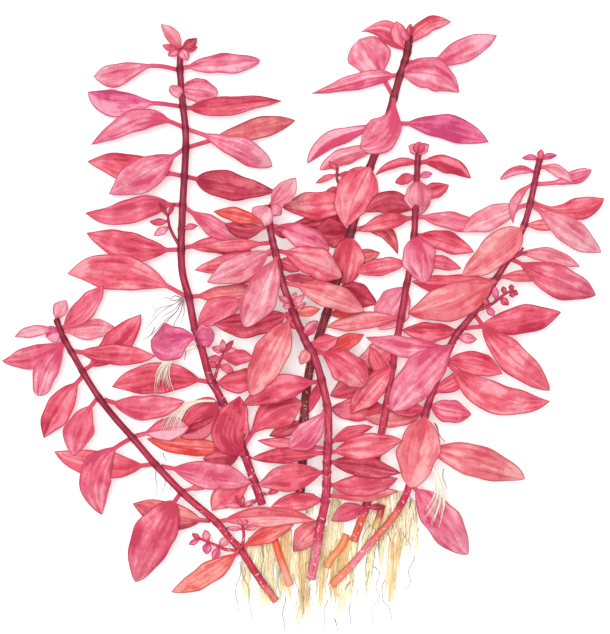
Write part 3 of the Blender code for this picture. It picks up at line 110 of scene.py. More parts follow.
LEAVES = {          # each stem has a ring where leaves have their feet
    # foot x, y, tip x, y, width, sideways bend, share of leaf stalk, rank, tone, and for some how sharp
    "tall": [
        (60, 188, 31, 186.2, 7.8, -0.9, 0.35, 5, "pink"),
        (60.5, 188.5, 86.7, 191.3, 6.6, 0, 0.18, 5, "pink", 0.6),
        (61.5, 168.8, 30.2, 163.1, 7.2, -4.4, 0.2, 6.6, "pink"),
        (61.8, 175.5, 94, 177.8, 6.4, -0.3, 0.1, 5, "crimson"),
        (61, 175.6, 29, 181, 9.2, 2, 0.35, 5.4, "magenta"),
        (61.7, 168.6, 90.7, 156, 8, 0.7, 0.15, 6.2, "pink", 0.8),
        (61.8, 162, 36.3, 146.8, 11, 0.6, 0.15, 6.5, "pink"),
        (62, 162, 98.4, 171.4, 7.4, 0.3, 0.33, 4.6, "brown"),
        (61.3, 152.5, 29, 157.6, 9, -0.3, 0.15, 5, "crimson"),
        (61.7, 152.3, 92, 147.5, 9.2, -0.6, 0.17, 5, "dark"),
        (61, 143, 28.3, 140.3, 8.4, 0.6, 0.15, 5, "rose"),
        (61.5, 142.7, 79.8, 131.1, 6.4, -0.4, 0.12, 5, "pink"),
        (60.5, 128, 28.7, 133.8, 9.5, 1.9, 0.15, 5.2, "crimson"),
        (61, 128.5, 84, 127.5, 6, 1.5, 0.15, 4.8, "crimson"),
        (62.5, 112.3, 22.3, 120.1, 12, -3.7, 0.22, 6, "coral"),
        (63.5, 112.3, 88, 115, 6, -0.2, 0.15, 4.8, "salmon"), (65.7, 102, 81, 111, 9, 1, 0.1, 6, "rose"),
        (66.5, 99, 50.3, 97.9, 12.4, 0.6, 0.02, 7, "magenta", 0.7),
        (62.5, 98, 71.5, 100, 7.4, 0, 0.02, 7.1, "magenta", 0.6),
        (69.7, 83.7, 37.2, 82.3, 10.5, -2.2, 0.1, 5.2, "crimson"),
        (71.8, 84, 89, 86, 8, -0.5, 0.1, 4.8, "crimson"), (74.8, 75.3, 59.5, 66, 6, 2, 0.2, 5.3, "dark"),
        (73.8, 76.5, 59.5, 66.5, 9, -1.5, 0.1, 4.6, "crimson"),
        (79.5, 62.5, 48.8, 65, 6.6, 1.4, 0.2, 5, "orange"),
        (80.8, 59.6, 80, 79.3, 13, 3.6, 0.05, 7, "crimson", 0.95),
        (81.2, 61, 67.7, 58.4, 7.5, 0.5, 0.1, 6.6, "dark"),
        (81.8, 63, 101, 76.8, 11.3, 2.8, 0.12, 5.3, "crimson"),
        (84.4, 51, 70.7, 41, 9.5, -1.8, 0.1, 5.2, "coral"),
        (60.3, 195.2, 53.6, 203.4, 4.6, -0.5, 0.05, 5.8, "pale"),
        (60.2, 195.3, 54, 196.5, 2.6, 0.4, 0.05, 5.4, "rose"),
        (60.2, 195.5, 65.6, 198.8, 3.4, -0.4, 0.05, 5.7, "dark"),
        (60.2, 195, 65.8, 195.6, 3, 0, 0.05, 5.3, "crimson"),
        (60.2, 194.8, 56, 192.8, 3.2, 0, 0.05, 6, "pink"),
        (60.2, 194.8, 62.6, 191.2, 3.6, 0, 0.05, 6.1, "pink"),
        (60.5, 181.8, 72.6, 180.3, 8, 0, 0.02, 6.2, "pink", 0.55),
        (61, 179.4, 56.6, 182.6, 4, 0, 0.02, 6.1, "pale", 0.55),
        (56, 140, 53.2, 143.6, 1.6, 0, 0.05, 5.3, "dark"),
        (56, 140, 58.3, 143.8, 1.6, 0, 0.05, 5.3, "dark"),
        (56.4, 137.5, 50, 137.4, 2.6, 0.3, 0.1, 5.3, "crimson"),
        (56.6, 135.5, 51.4, 132.8, 2.8, 0, 0.1, 5.5, "pink"),
        (61.6, 134.5, 66, 136, 2.2, 0.3, 0.1, 5.4, "pink"), (75, 95, 77.9, 97.9, 2, 0, 0.05, 5.5, "dark"),
        (74.9, 95, 74.2, 98.3, 2.2, 0, 0.05, 5.6, "pale"),
        (74.6, 94.6, 70.7, 95.6, 2.6, 0, 0.05, 5.4, "pale"), (75.2, 94.8, 79, 95, 2, 0, 0.05, 5.3, "pink"),
        (73.8, 92, 69.4, 92.2, 2.6, 0.4, 0.05, 5.5, "rose"),
        (74, 92, 84.5, 92, 5.6, 0.3, 0.05, 5.2, "rose"), (72.8, 89.2, 78, 87.3, 3, 0.3, 0.05, 5.5, "rose"),
        (72.6, 89.2, 69.8, 90.6, 2.2, 0, 0.05, 5.6, "crimson"),
        (80, 42.4, 74.4, 43, 2, 0, 0.05, 5.3, "pale"),
        (79.9, 42.5, 78.4, 46.2, 1.8, 0, 0.05, 5.5, "crimson"),
        (80.1, 42.5, 81, 46.1, 1.6, 0, 0.05, 5.6, "crimson"),
        (80.6, 42.5, 84.4, 44.9, 1.6, -0.3, 0.05, 5.4, "pink"),
        (90.4, 46.8, 93.7, 49.2, 2.6, 0, 0.05, 5.5, "crimson"),
        (67.3, 96.5, 54.8, 79.5, 8, -5, 0.1, 6.4, "tuft"),
        (73.6, 77.4, 56.5, 65.4, 8, -5, 0.1, 6.9, "tuft"),
    ],
    "front": [
        (90, 142, 98.6, 151.8, 7, -0.5, 0.1, 9.4, "pale"),
        (89.3, 142.3, 85.5, 135.5, 8, 0, 0.05, 9.6, "pale"),
        (89.5, 136.3, 71.3, 140.6, 5, -0.5, 0.2, 9, "orange"),
        (89.8, 136, 75, 136.6, 5.5, 2, 0.2, 8.4, "dark"),
        (90.5, 136.2, 109.7, 127.8, 8, 0.8, 0.12, 9.2, "pink", 0.78),
        (91, 130.5, 68, 129.2, 4.5, 0.4, 0.2, 8.6, "coral"),
        (91.3, 128.5, 69.2, 117.3, 9, 0.8, 0.12, 9.3, "pale"),
        (91.9, 128, 113.9, 118.7, 10, 1, 0.1, 9.4, "coral", 0.82),
        (91.5, 127, 65, 121.2, 6, 0, 0.2, 8.2, "coral"),
        (92.3, 125.5, 81.6, 102.3, 11, 0.5, 0.1, 9.6, "pale", 0.7),
        (94.2, 117, 121.2, 107.5, 8.5, 1, 0.22, 9.5, "salmon", 0.82),
        (92.9, 122.3, 75, 117.1, 4.2, 0, 0.2, 7.6, "dark"),
        (97.8, 107.5, 83.5, 79.7, 11.3, 0, 0.1, 9.6, "salmon", 0.7),
        (98, 107.3, 71.3, 103.5, 9, 1.8, 0.05, 7.8, "dark"),
        (103, 95.8, 121.4, 82.7, 11, 1.5, 0.08, 9.4, "coral", 0.75),
        (102, 96.5, 112.5, 99, 6, -1, 0.1, 7.8, "crimson"),
        (107, 84.5, 81, 76.5, 9, -1.5, 0.1, 7.5, "crimson"),
        (108.9, 76.3, 96.2, 62.3, 8.6, 1.5, 0.1, 8.3, "pink"),
        (109.1, 63.5, 124.3, 69.3, 4.5, 0.8, 0.1, 7.6, "crimson"),
        (109.2, 60.5, 134, 64.7, 8.5, 0.2, 0.12, 8.3, "coral"),
        (109, 60.6, 83.6, 58.6, 5.5, -0.4, 0.1, 7.4, "crimson"),
        (109, 62, 85.8, 64.7, 4, 0, 0.2, 7.2, "crimson"),
        (108.8, 54.3, 86, 49.8, 9, -0.5, 0.1, 8.3, "coral"),
        (109, 57.8, 133.5, 53.8, 7, 0.3, 0.05, 7.7, "dark"),
        (108.7, 50, 132.5, 52, 7.5, -1.2, 0.08, 7.4, "crimson"),
        (108.7, 46.2, 133, 47.8, 4.8, -0.2, 0.12, 7.1, "salmon"),
        (107, 38, 97.7, 27.7, 8, 0, 0.05, 6.5, "salmon"),
        (108, 45, 90.3, 42.5, 6, -0.6, 0.05, 6.3, "coral"),
        (90.6, 134.8, 97.3, 131.8, 3.6, 0.4, 0.05, 8.5, "dark"),
        (92.8, 124.5, 99.6, 120.8, 5, 0.3, 0.05, 8.3, "dark"),
        (94, 118.8, 105.6, 118.2, 3, 0, 0.05, 8.4, "dark"),
        (97, 110, 101.6, 113.4, 2.2, -0.3, 0.05, 9.4, "pale"),
        (98, 108, 102.2, 110.2, 2.2, 0.3, 0.05, 9.5, "pale"),
        (89.8, 142.2, 93.6, 139.4, 4.2, 0.4, 0.05, 9.5, "pink", 0.7),
        (98, 110.5, 93, 112.7, 2.4, 0.2, 0.05, 9.3, "pale"),
        (98, 109.6, 94.3, 109.3, 2.2, 0, 0.05, 9.2, "pink"),
        (98, 111, 98.8, 113.9, 2, 0, 0.05, 9.3, "pale"), (101, 98.7, 106, 104.3, 4, 0.4, 0.05, 8.2, "pink"),
        (99.7, 101.3, 95.3, 106, 4, -0.3, 0.05, 7.6, "dark"),
        (99.7, 107.3, 106.7, 108.3, 3.5, 0, 0.05, 7.8, "orange"),
        (103, 96.3, 100, 90, 4, 0.3, 0.05, 8.6, "salmon"),
        (105.3, 94, 121.3, 100, 6, -0.5, 0.1, 7.5, "orange"),
        (108, 85.3, 103, 74, 3.4, 0, 0.05, 7.2, "crimson"),
    ],
    "back": [
        (135.2, 194, 120.3, 201.1, 8, -3.6, 0.05, 2.5, "rose", 1.3),
        (135.3, 194.5, 132, 204.5, 6, 0.5, 0.1, 2.6, "rose"),
        (136.5, 196, 150.4, 204.3, 5.6, 2.8, 0.1, 2.5, "coral", 0.8),
        (131, 179.3, 119.9, 198.7, 14.2, 0, 0.6, 2.2, "pink", 0.6),
        (133.2, 186.3, 103.8, 180.4, 5.5, -0.7, 0.15, 2.4, "pink"),
        (134, 186.8, 153.1, 180.7, 10.8, 2.7, 0.02, 3.2, "pink", 0.9),
        (134.8, 190.5, 165.9, 200, 8, -2.2, 0.5, 2.2, "pink", 0.9),
        (131.3, 178.5, 119.9, 162.4, 12, 3.9, 0.05, 3.4, "pink", 0.8),
        (129, 171, 102.4, 157, 5.7, -2.7, 0.15, 2.4, "pink", 0.8),
        (129, 170.2, 163.1, 164.2, 8.8, 2, 0.25, 2.4, "magenta"),
        (126, 161.5, 106.5, 154.8, 5.6, -1.5, 0.1, 2.3, "pale", 0.7),
        (123.4, 155.5, 115, 135.7, 13.6, -1, 0.05, 3.4, "coral", 0.82),
        (120, 144, 94, 142.3, 9.5, 0, 0.05, 2.4, "coral"),
        (119, 141, 96.5, 136.3, 6, 0.5, 0.05, 1.8, "dark"),
        (116.6, 134, 104.3, 133.6, 9.5, 0, 0.05, 2.3, "dark"),
        (117.6, 134.5, 132.6, 126.6, 4.8, 4.6, 0.15, 2.6, "brown"),
        (116.6, 132.5, 115.3, 116, 10.5, 0, 0.05, 3.6, "coral", 0.75),
        (114.5, 124, 126.7, 127.2, 5, 0, 0.1, 2.2, "brown"),
        (111.5, 115.5, 125.6, 110, 8, 0.5, 0.05, 2.2, "dark"),
        (136.2, 197.5, 133.9, 201.6, 2.6, 0, 0.05, 2.8, "magenta"),
        (136.3, 199, 136.9, 203.6, 2.4, 0, 0.05, 2.9, "crimson"),
        (112.3, 153, 105.2, 150.2, 2.2, -0.4, 0.05, 2.6, "coral"),
        (112.4, 152.9, 118.6, 153.9, 2.4, -0.3, 0.05, 2.6, "crimson"),
        (112.6, 155.6, 109.6, 157.7, 1.8, 0, 0.05, 2.6, "crimson"),
        (113.5, 148.4, 107.9, 147, 4, 0.4, 0.05, 2.2, "rose"),
        (109.7, 106.3, 120.3, 107.3, 3.6, 0, 0.05, 2.2, "orange"),
        (101.3, 71.3, 89.7, 66, 4.6, 0.4, 0.05, 2.2, "dark"),
        (114, 120.7, 107.3, 117, 4, 0, 0.05, 2.2, "coral"),
    ],
    "middle": [
        (138.6, 157.3, 125.1, 152.9, 3.1, -1.8, 0, 4.6, "crimson", 0.8),
        (139.6, 156.8, 157, 151.9, 5.9, 2.2, 0.1, 4.5, "crimson"),
        (139, 151, 140, 139.7, 9, 0, 0.05, 5.6, "pale", 0.7),
        (138.9, 152.3, 131.7, 150.3, 3.8, -0.3, 0.1, 4.7, "crimson"),
        (139.2, 152.3, 144.1, 153.4, 2.4, 0, 0.1, 4.7, "magenta"),
        (139, 147, 149.6, 149.7, 5.5, -0.8, 0.05, 4.2, "crimson"),
        (138.5, 141, 121.7, 140.6, 8, -2.8, 0.03, 4.3, "dark"),
        (138.4, 139.2, 163.3, 134.7, 6, 0.6, 0.12, 4.6, "pink"),
        (138, 138.6, 119.5, 134.3, 5.5, -0.8, 0.1, 4.7, "coral"),
        (138, 133.2, 158, 127.3, 7, 0.6, 0.1, 4.4, "crimson"),
        (138.2, 132.5, 141.6, 116.9, 11, 0, 0.08, 5.8, "pink", 0.75),
        (137, 125, 153.7, 121.8, 5, 0.5, 0.1, 4.2, "rose"),
        (136.3, 123.5, 118.5, 120.5, 6, -0.5, 0.1, 4.6, "coral"),
        (135.6, 116.5, 126.3, 101.3, 12, 0, 0.1, 5.6, "pink"),
        (133.7, 105.5, 108.8, 102.3, 6, -0.5, 0.1, 4.3, "salmon"),
        (132, 97, 118.5, 90.5, 8, 1, 0.05, 4, "coral"),
        (130.7, 89, 117, 73.4, 8.5, -0.5, 0.08, 5.5, "coral"),
        (130.8, 90, 110, 79.5, 10, 0.5, 0.05, 3.9, "crimson"),
        (128.8, 76, 110, 75, 8.5, 0.5, 0.05, 4.1, "crimson"),
        (122, 42.8, 110.6, 37.8, 6, -0.5, 0.08, 6, "rose"),
        (139.4, 159.5, 136, 162.7, 3.6, -0.6, 0.05, 4.9, "pink"),
        (139.5, 159.5, 143, 163, 3.8, 0.6, 0.05, 4.9, "pink"),
        (139.5, 159.8, 139.7, 164, 4, 0, 0.05, 5.2, "rose", 0.7),
        (122.2, 42.2, 128.6, 42.6, 2.2, 0, 0.05, 5, "dark"),
        (130.3, 83, 123.3, 96, 5.2, 0.5, 0.05, 4.1, "coral"),
    ],
    "right": [
        (178.8, 153.8, 166.7, 151.4, 3.1, -1.9, 0.1, 6.3, "pink", 0.7),
        (179.3, 155.6, 190.8, 150.2, 3.9, 1.6, 0.1, 6.8, "pale"),
        (178.3, 150.1, 197.4, 154.9, 4.7, -1.3, 0.2, 6.1, "pink"),
        (178, 150.2, 170.8, 136.6, 3.2, -2.7, 0.1, 6.9, "pale"),
        (176.6, 143.3, 154, 134, 8, -0.9, 0.2, 6.3, "pale"),
        (176.9, 143.2, 200.8, 127.3, 8.7, -0.3, 0.1, 6.7, "pale", 0.9),
        (177.2, 144.2, 201.4, 145.2, 7.4, -3.5, 0.3, 6, "coral"),
        (174.8, 136.2, 188, 136.4, 4, 0, 0.1, 5.9, "salmon"),
        (174.3, 135.7, 153.8, 119.3, 11, 0.6, 0.1, 6.6, "salmon", 0.85),
        (170, 126.6, 193.3, 122.4, 5.2, 1.6, 0.2, 6.2, "pale"),
        (170, 124.8, 199, 113, 11, -0.7, 0.1, 6.55, "rose"),
        (165.8, 118.8, 182, 119.6, 4, 0, 0.1, 6, "salmon"),
        (165.3, 118.8, 137.2, 117.6, 7.5, 1.8, 0.1, 5.7, "coral"),
        (164.5, 118, 136, 107, 12, 1.6, 0.08, 6.6, "salmon", 0.82),
        (157.5, 106.8, 183.2, 81.2, 9.9, -1.1, 0.15, 6.8, "coral", 0.8),
        (154, 101.5, 187, 107.3, 9.5, -0.5, 0.2, 6.3, "crimson"),
        (153, 101, 133.7, 101.2, 6.5, 0.4, 0.05, 6.1, "crimson"),
        (151.5, 99.3, 158.8, 98.2, 3.5, 0, 0.1, 6.1, "pink"),
        (149.8, 96, 121.8, 99, 6.8, 1.8, 0.1, 6.3, "pink"),
        (148.8, 97, 130.3, 74.5, 13, -0.8, 0.05, 7, "pink", 0.72),
        (148.3, 91.3, 167.3, 86.8, 8, 1.2, 0.08, 6, "crimson"),
        (148.3, 91, 183.3, 77.6, 10.6, -5.2, 0.1, 6.8, "coral"),
        (144.5, 80, 160, 87.5, 6, 0.5, 0.08, 5.7, "crimson"),
        (143, 76.8, 157, 73.3, 8, -0.7, 0.05, 6.4, "rose"),
        (141.6, 73.8, 120.8, 72.6, 5.8, 1.5, 0.08, 4.3, "salmon"),
        (142.2, 75.5, 128, 76.3, 5.5, 0.6, 0.05, 5.6, "crimson"),
        (141.6, 72.5, 137, 48.7, 13.5, 0, 0.05, 7, "salmon", 0.65),
        (139.5, 62, 175.3, 51.5, 10.8, 1.4, 0.15, 6.4, "salmon", 0.8),
        (137.3, 50.5, 156.3, 26.2, 12, 0.1, 0.05, 6.6, "pink", 0.85),
        (179.9, 157.9, 174, 158.5, 2.1, -0.6, 0.05, 6.6, "magenta", 0.8),
        (180.1, 157.9, 185.7, 159.4, 2.2, 0.5, 0.05, 6.6, "magenta", 0.8),
        (180, 158, 180.4, 161.6, 2.4, 0, 0.05, 6.9, "crimson"),
        (162, 109, 164.6, 106, 2.6, 0, 0.05, 6.6, "magenta"),
        (163, 109.6, 160.4, 111.6, 2.2, 0, 0.05, 6.7, "dark"),
        (165, 111, 164.5, 116, 2.4, 0, 0.05, 6.6, "magenta"),
        (166.4, 112, 169.3, 109.7, 2.6, 0, 0.05, 6.6, "crimson"),
        (168, 113.3, 167.4, 115.8, 2, 0, 0.05, 6.7, "dark"),
        (169.6, 114.2, 171, 112.2, 2, 0, 0.05, 6.7, "dark"),
        (171, 114.8, 172.5, 113.1, 2, 0, 0.05, 6.6, "dark"),
        (170, 114.4, 170.2, 116.4, 2, 0, 0.05, 6.8, "dark"),
        (139.8, 62.5, 142.6, 36.5, 5, 4.5, 0.1, 6.8, "tuft"),
    ],
    "left": [
        (18.7, 104.3, 22, 111.2, 5, 0.5, 0.1, 7.2, "pale"),
        (21.3, 101.8, 34.5, 116.2, 7.6, -0.8, 0.08, 7, "rose"),
        (20.2, 101, 4.7, 99, 4, -1.2, 0.2, 7, "pale"), (20.2, 101, 15.3, 99, 6, 0, 0, 7.3, "magenta"),
        (21, 101.3, 38.5, 102, 7, 0, 0.15, 6.6, "pale"), (21, 97.6, 0.3, 91, 7.6, 1.9, 0.12, 7, "rose"),
        (21.5, 97.3, 12.7, 79.3, 8, -1.2, 0.1, 7.6, "pink", 0.55),
        (27.4, 87.5, 47, 106.7, 9, -1.2, 0.1, 7.2, "crimson"),
        (23.8, 94.3, 52, 92.6, 7, -0.4, 0.15, 7.4, "crimson"),
        (28, 86.8, 14.5, 65.3, 9, -0.9, 0.15, 7.4, "crimson"),
        (32.5, 78.7, 24.7, 59.3, 9.5, -1.8, 0.26, 7.4, "rose"),
        (33.8, 78.3, 61.7, 77.7, 8.5, -2.1, 0.1, 7.2, "rose"),
        (44, 65.3, 33.9, 39.7, 11, -6.3, 0.25, 7.6, "rose"), (44.6, 66, 63, 69, 8, 0.5, 0.35, 5.4, "pink"),
        (51.7, 56.5, 18, 60.8, 9.5, 2.2, 0.1, 7, "coral"),
        (52.5, 56.5, 84, 50.5, 9.5, 0, 0.15, 7.4, "pink"),
        (60.3, 47.5, 44.9, 17, 13.8, -1.2, 0.12, 7.8, "rose", 0.78),
        (60.9, 48.2, 72, 52, 3.5, -0.4, 0.3, 6.8, "rose"),
        (71.5, 37.2, 44.2, 43.4, 9.5, 1, 0.1, 6.9, "brown"),
        (72.5, 37.5, 105, 38, 6.8, 1.6, 0.1, 6.9, "salmon"),
        (79.8, 27.6, 57, 13.8, 7.4, 1, 0.1, 7.2, "orange"),
        (81, 28.9, 98, 36.4, 5.5, 0.6, 0.1, 6.6, "orange"),
        (81.1, 35.2, 75.3, 35.5, 1.8, 0, 0.05, 7.3, "pink"), (81.1, 35, 86.3, 36, 2, 0, 0.05, 7.3, "pink"),
        (80.8, 37, 78.8, 38.8, 1.7, 0, 0.05, 7.4, "pink"),
        (80.8, 37, 82.6, 38.5, 1.7, 0, 0.05, 7.4, "pink"),
        (65.8, 32.3, 64.1, 33.6, 1.9, 0, 0.05, 7.5, "crimson"),
        (66.3, 31.7, 63, 29.9, 2, 0, 0.05, 7.4, "magenta"),
        (69.5, 31, 68.3, 34.8, 2.8, 0, 0.05, 7.3, "pink"),
        (69.3, 30.7, 68.8, 26.7, 3.2, 0, 0.05, 7.5, "magenta"),
        (73, 29.3, 76.2, 32.3, 3, 0, 0.05, 7.3, "pale"),
        (73.2, 29.1, 71.1, 24.6, 2.8, 0, 0.05, 7.5, "magenta"),
    ],
}
STEM_STEP, STEM_SIDES = 0.8, 14         # length of a stem's straight runs, and its faces around
TWIG_POINTS, TWIG_SIDES = 24, 10
TWIG_RISE, TWIG_RADIUS, TWIG_TAPER = 1.5, 0.6, 0.3
RING_REACH, RING_LENGTH, RING_SWELL = 2.5, 0.8, 0.16    # a leaf this near has a ring, its size and swelling
ROUTE_POINTS, FINE_POINTS = 60, 240
WELD = 0.004                            # points nearer than this are one
SHEEN = 0.15                            # specular level of skins that are moist but not glossy
END_BLEND, FRAYING = 0.012, 0.03        # how softly an old stretch of stem begins, and how unevenly
TURN_SHIFT = 0.3                        # how far a stem's pattern shifts on the way around it
SKIN_VECTORS = "blade", "reach"         # the two vectors that each point of a skin carries


def lengths(line):
    """Distances along a line of points, from 0 at its start."""
    return np.concatenate([[0], np.cumsum(np.linalg.norm(np.diff(line, axis=0), axis=1))])


def route(points, count):
    """Points spread evenly along a smooth curve through the given ones."""
    given = np.array(points, float)
    padded = np.vstack([2 * given[0] - given[1], given, 2 * given[-1] - given[-2]])
    fine = []
    for first in range(len(given) - 1):
        before, start, end, after = padded[first:first + 4]
        for share in np.linspace(0, 1, 12, endpoint=False):
            fine.append(0.5 * (2 * start + (end - before) * share
                               + (2 * before - 5 * start + 4 * end - after) * share ** 2
                               + (3 * start - before - 3 * end + after) * share ** 3))
    fine = np.array(fine + [given[-1]])
    wanted = np.linspace(0, lengths(fine)[-1], count)
    return np.stack([np.interp(wanted, lengths(fine), column) for column in fine.T], 1)


def arch(share):
    """How much the heights of the start, the middle and the end count at a share of the length."""
    return (1 - share) * (1 - 2 * share), 4 * share * (1 - share), share * (2 * share - 1)


def stem_line(name, count):
    """Places and radii along a stem, from its tip to its cut end."""
    points, (thin, thick), heights, _ = STEMS[name]
    share = np.linspace(0, 1, count)
    z = sum(height * part for height, part in zip(heights, arch(share)))
    return np.column_stack([route(points, count), z]), thin + (thick - thin) * share


def twig_line(stem, points, count):
    """Places and radii along a side twig, which leaves its stem level and climbs a little."""
    flat = route(points, count)
    line, _ = stem_line(stem, FINE_POINTS)
    near = np.argmin(np.hypot(*(line[:, :2] - flat[0]).T))
    share = np.linspace(0, 1, count)
    return np.column_stack([flat, line[near, 2] + TWIG_RISE * share]), TWIG_RADIUS * (1 - TWIG_TAPER * share)


def place(points):
    """Turns places on the sheet in millimetres into ones in the scene."""
    return (np.asarray(points, float) - (MIDDLE_X, MIDDLE_Y, 0)) * MM


def rolled_tube(shape, line, radii, sides):
    """Adds a round tube along a line to the bmesh, from a grid that is rolled up."""
    line = np.asarray(line, float)
    run = np.gradient(line, axis=0)
    run = run / np.maximum(np.linalg.norm(run, axis=1, keepdims=True), 1e-9)
    aside = np.column_stack([-run[:, 1], run[:, 0], np.zeros(len(run))])
    aside = aside / np.maximum(np.linalg.norm(aside, axis=1, keepdims=True), 1e-9)
    up = np.cross(run, aside)
    grid = bmesh.ops.create_grid(shape, x_segments=len(line) - 1, y_segments=sides, size=0.5)["verts"]
    spots = np.array([vert.co[:2] for vert in grid]) + 0.5
    row = np.rint(spots[:, 0] * (len(line) - 1)).astype(int)
    angle = -2 * math.pi * np.rint(spots[:, 1] * sides) / sides
    radius = np.asarray(radii, float)[row]
    skin = (line[row] + aside[row] * (radius * np.cos(angle))[:, None]
            + up[row] * (radius * np.sin(angle))[:, None])
    for vert, spot in zip(grid, place(skin)):
        vert.co = spot
    return grid, row, angle


def new_layers(shape):
    """Gives each point of the bmesh room for its skin's vectors."""
    return [shape.verts.layers.float_vector.new(name) for name in SKIN_VECTORS]


def add_stem(shape, layers, line, radii, sides, along, rings, run):
    """Adds a stem, a twig or a stem end, with what its skin needs: its share of the way, ring and run."""
    grid, row, angle = rolled_tube(shape, line, radii, sides)
    for vert, k, turn in zip(grid, row, angle):
        vert[layers[0]] = (along[k], math.sin(turn), rings[k])
        vert[layers[1]] = (run * k, math.cos(turn) * radii[k], turn * TURN_SHIFT)


def finish_piece(name, shape, skins, close=True):
    """Welds the bmesh, turns its faces outwards and makes it a smooth piece that rides on the bunch."""
    bmesh.ops.remove_doubles(shape, verts=shape.verts, dist=WELD * MM)
    if close:
        bmesh.ops.holes_fill(shape, edges=[edge for edge in shape.edges if edge.is_boundary])
        bmesh.ops.recalc_face_normals(shape, faces=shape.faces)
    mesh = bpy.data.meshes.new(name)
    shape.to_mesh(mesh)
    shape.free()
    mesh.shade_smooth()
    piece = bpy.data.objects.new(name, mesh)
    bpy.context.collection.objects.link(piece)
    for skin in skins:
        mesh.materials.append(skin)
    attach(piece, "root")
    return piece


def linear(code):
    """Linear colour of an sRGB hex code."""
    parts = [int(code[k:k + 2], 16) / 255 for k in (0, 2, 4)]
    return (*[part / 12.92 if part <= 0.04045 else ((part + 0.055) / 1.055) ** 2.4 for part in parts], 1)


def add_node(tree, kind, inputs, **settings):
    """Adds a shader node, sets its options, sets or links its inputs, and gives its outputs."""
    node = tree.nodes.new("ShaderNode" + kind)
    for name, value in settings.items():
        setattr(node, name, value)
    for key, value in inputs.items():
        if isinstance(value, bpy.types.NodeSocket):
            tree.links.new(value, node.inputs[key])
        else:
            node.inputs[key].default_value = value
    return node.outputs


def total(tree, value, *parts):
    """A value with others added to it, each given with how much it counts."""
    for part, count in parts:
        value = add_node(tree, "Math", {0: part, 1: count, 2: value}, operation="MULTIPLY_ADD")[0]
    return value


def overlap(tree, *masks):
    """Masks multiplied. One given as (value, low, high) runs smoothly from 0 at low to 1 at high."""
    whole = 1.0
    for mask in masks:
        if isinstance(mask, tuple):
            value, low, high = mask
            mask = add_node(tree, "MapRange", {0: value, 1: low, 2: high}, interpolation_type="SMOOTHSTEP")[0]
        whole = add_node(tree, "Math", {0: mask, 1: whole}, operation="MULTIPLY")[0]
    return whole


def washed(tree, colour, *washes):
    """Lays washes over a colour, each given as its own colour, its strength and the masks it lies in."""
    for code, strength, *masks in washes:
        share = overlap(tree, *masks, strength)
        colour = add_node(tree, "Mix", {0: share, 6: colour, 7: linear(code)}, data_type="RGBA")[2]
    return colour


def new_skin(name, roughness):
    """Starts a skin, and gives its nodes and the two vectors that each point carries."""
    material = bpy.data.materials.new(name)
    material.use_nodes = True
    tree = material.node_tree
    surface = tree.nodes["Principled BSDF"].inputs
    surface["Roughness"].default_value = roughness
    surface["Specular IOR Level"].default_value = SHEEN
    vectors = [add_node(tree, "Attribute", {}, attribute_name=vector)["Vector"] for vector in SKIN_VECTORS]
    return material, tree, surface, *vectors


# Fresh stem skin: smooth, moist and a little waxy. A painted highlight runs along its crown, painted shade
# darkens the sides, small pale specks of painted glint lie on the lower stretch, and darker lengthwise
# strokes break it up.
def stem_skin(name, top, low, dark, light, ends=()):
    material, tree, surface, blade, reach = new_skin(name, 0.55)
    along, side, ring = add_node(tree, "SeparateXYZ", {0: blade})
    drawn = add_node(tree, "VectorMath", {0: reach, 1: (0.12, 1.3, 1.0)}, operation="MULTIPLY")[0]
    strokes = add_node(tree, "TexNoise", {"Vector": drawn, "Scale": 1.6, "Detail": 3.0})[0]
    painted_glints = add_node(tree, "TexNoise", {"Vector": reach, "Scale": 1.1, "Detail": 1.0})[0]
    frayed = total(tree, along, (strokes, FRAYING))
    old = [(code, 1.0, (frayed, start + FRAYING / 2 - END_BLEND, start + FRAYING / 2 + END_BLEND))
           for start, code in ends]
    colour = washed(
        tree, linear(top), (low, 1.0, (along, 0.25, 0.85)), *old, (dark, 0.6, (strokes, 0.5, 0.72)),
        # painted highlight along the crown where the skin faces up, and painted shade on the sides in the
        # dark colour
        (light, 0.4, (side, 0.6, 1.0), (strokes, 0.6, 0.35)), (dark, 0.75, (side, 0.45, 0.0)),
        # darker rings at the joints, and pale specks of painted glint on the lower stretch
        (dark, 0.55, ring), ("f6d3d6", 0.7, (painted_glints, 0.62, 0.7), (along, 0.5, 0.9)))
    bump = add_node(tree, "Bump", {"Height": strokes, "Strength": 0.25, "Distance": 0.0003})
    tree.links.new(colour, surface["Base Color"])
    tree.links.new(bump[0], surface["Normal"])
    return material


STEM_COLOURS = {     # skin near the tip and lower down, its dark strokes, rings and painted side shade, and the painted highlight along its crown
    "tall": ("86243c", "b62c4c", "5c1428", "d4627c"),
    "front": ("9a2840", "cc3a58", "74182e", "e47c90"),
    "back": ("8c2438", "7c2f33", "461c20", "b0606c"),
    "middle": ("9a2a40", "c43e58", "6c1629", "d6607a"),
    "right": ("962842", "c63454", "701a32", "e27488"),
    "left": ("8c2038", "c03048", "6a1528", "d8647a"),
}
STEM_ENDS = {        # how far down each old lower stretch begins, and its colour
    "right": ((0.79, "dd6a52"), (0.875, "e8808a"), (0.945, "ea8c68")),
    "middle": ((0.93, "e2664a"),), "front": ((0.9, "e47686"),), "left": ((0.95, "d6786e"),),
}

